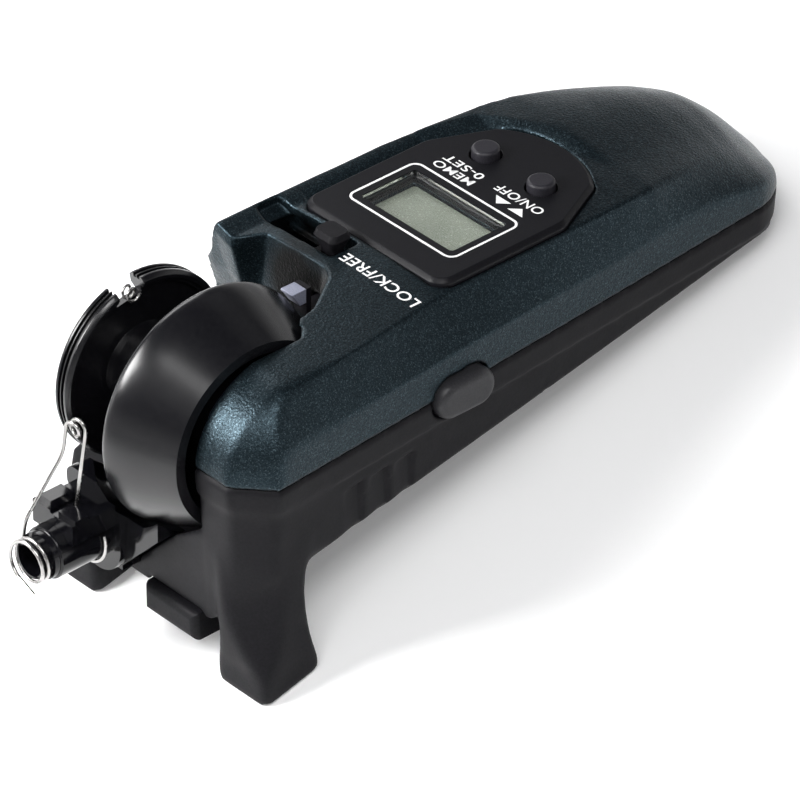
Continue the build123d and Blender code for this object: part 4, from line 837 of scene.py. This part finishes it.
def pale_floor():
    """Pale grey that takes the shadow, lifted a little wherever it is seen."""
    material, tree, shader = nodes_of("pale_floor")
    shader.inputs["Base Color"].default_value = grey(FLOOR_GREY)
    shader.inputs["Roughness"].default_value = 0.9
    shader.inputs["Specular IOR Level"].default_value = 0.0
    glow = add(tree, "ShaderNodeEmission", Strength=1.0)
    glow.inputs["Color"].default_value = grey(FLOOR_GLOW)
    lifted = tree.nodes.new("ShaderNodeAddShader")
    tree.links.new(shader.outputs[0], lifted.inputs[0])
    tree.links.new(glow.outputs[0], lifted.inputs[1])
    surface = mixed(tree, seen_ray(tree), shader.outputs[0], lifted.outputs[0])
    tree.links.new(surface, tree.nodes["Material Output"].inputs["Surface"])
    return material


floor.data.materials.append(pale_floor())

# World, as (height of the direction, colour) stops: half-bright round the horizon and dim overhead for
# the light it gives, steeper in reflections, and white where the camera looks or light passes through
LIGHTING_SKY = (
    (0.0, (0.50, 0.50, 0.51)),
    (0.12, (0.36, 0.36, 0.37)),
    (0.4, (0.13, 0.13, 0.14)),
    (1.0, (0.13, 0.13, 0.14)),
)
REFLECTED_SKY = (
    (0.0, (1.0, 1.0, 1.0)),
    (0.15, (0.7, 0.7, 0.7)),
    (0.36, (0.07, 0.07, 0.08)),
    (1.0, (0.05, 0.05, 0.06)),
)


def studio():
    """The world, with a backdrop of its own for each kind of ray."""
    world = bpy.data.worlds.new("studio")
    world.use_nodes = True
    tree = world.node_tree
    lighting = tree.nodes["Background"]
    split = tree.nodes.new("ShaderNodeSeparateXYZ")
    tree.links.new(tree.nodes.new("ShaderNodeTexCoord").outputs["Generated"], split.inputs[0])
    tree.links.new(ramp(tree, split.outputs["Z"], LIGHTING_SKY), lighting.inputs["Color"])
    reflected = add(tree, "ShaderNodeBackground", Strength=1.0)
    tree.links.new(ramp(tree, split.outputs["Z"], REFLECTED_SKY), reflected.inputs["Color"])
    white = add(tree, "ShaderNodeBackground", Strength=1.0)
    white.inputs["Color"].default_value = grey(1.0)
    path = tree.nodes.new("ShaderNodeLightPath")
    surface = lighting.outputs[0]
    for ray, sky in (("Is Glossy Ray", reflected), ("Is Transmission Ray", white), ("Is Camera Ray", white)):
        surface = mixed(tree, path.outputs[ray], surface, sky.outputs[0])
    tree.links.new(surface, tree.nodes["World Output"].inputs["Surface"])
    return world


bpy.context.scene.world = studio()


# Lights and camera --------------------------------------------------------------------------------

# Soft boxes aimed at the frame's origin: place, width and height in metres, and power
LIGHTS = {
    "key_top": ((0.34, -0.34, 0.76), 0.42, 0.6, 3.8),
    "side_right": ((0.80, 0.35, 0.45), 0.30, 0.6, 0.45),
    "front_left": ((-0.60, -0.45, 0.40), 0.5, 0.7, 3.0),
    "near_left": ((-0.15, 0.05, 0.13), 0.10, 0.10, 0.14),
    "near_front": ((-0.08, -0.14, 0.17), 0.08, 0.08, 0.65),
    "near_right": ((0.13, -0.02, 0.20), 0.05, 0.05, 0.12),
    "back_top": ((-0.2, 0.8, 0.7), 0.4, 0.4, 0.1),
}


def soft_light(name, place, width, height, power):
    """A soft box."""
    light = bpy.data.lights.new(name, "AREA")
    light.shape = "RECTANGLE"
    light.size = width
    light.size_y = height
    light.energy = power
    obj = bpy.data.objects.new(name, light)
    obj.location = place
    obj.rotation_euler = (-Vector(place)).to_track_quat("-Z", "Y").to_euler()
    bpy.context.scene.collection.objects.link(obj)


for name, values in LIGHTS.items():
    soft_light(name, *values)

camera = bpy.data.cameras.new("camera")
camera.lens = LENS
camera.sensor_width = SENSOR
camera.clip_start = CLIP_START
camera_obj = bpy.data.objects.new("camera", camera)
right = Vector((cos(AZIMUTH), sin(AZIMUTH), 0))
back = Vector((sin(AZIMUTH) * cos(ELEVATION), -cos(AZIMUTH) * cos(ELEVATION), sin(ELEVATION)))
turn = Matrix((right, back.cross(right), back)).transposed().to_4x4()
camera_obj.matrix_world = CASE @ Matrix.Translation(TARGET + back * DISTANCE) @ turn
bpy.context.scene.collection.objects.link(camera_obj)
bpy.context.scene.camera = camera_obj
bpy.context.scene.view_settings.view_transform = "Standard"
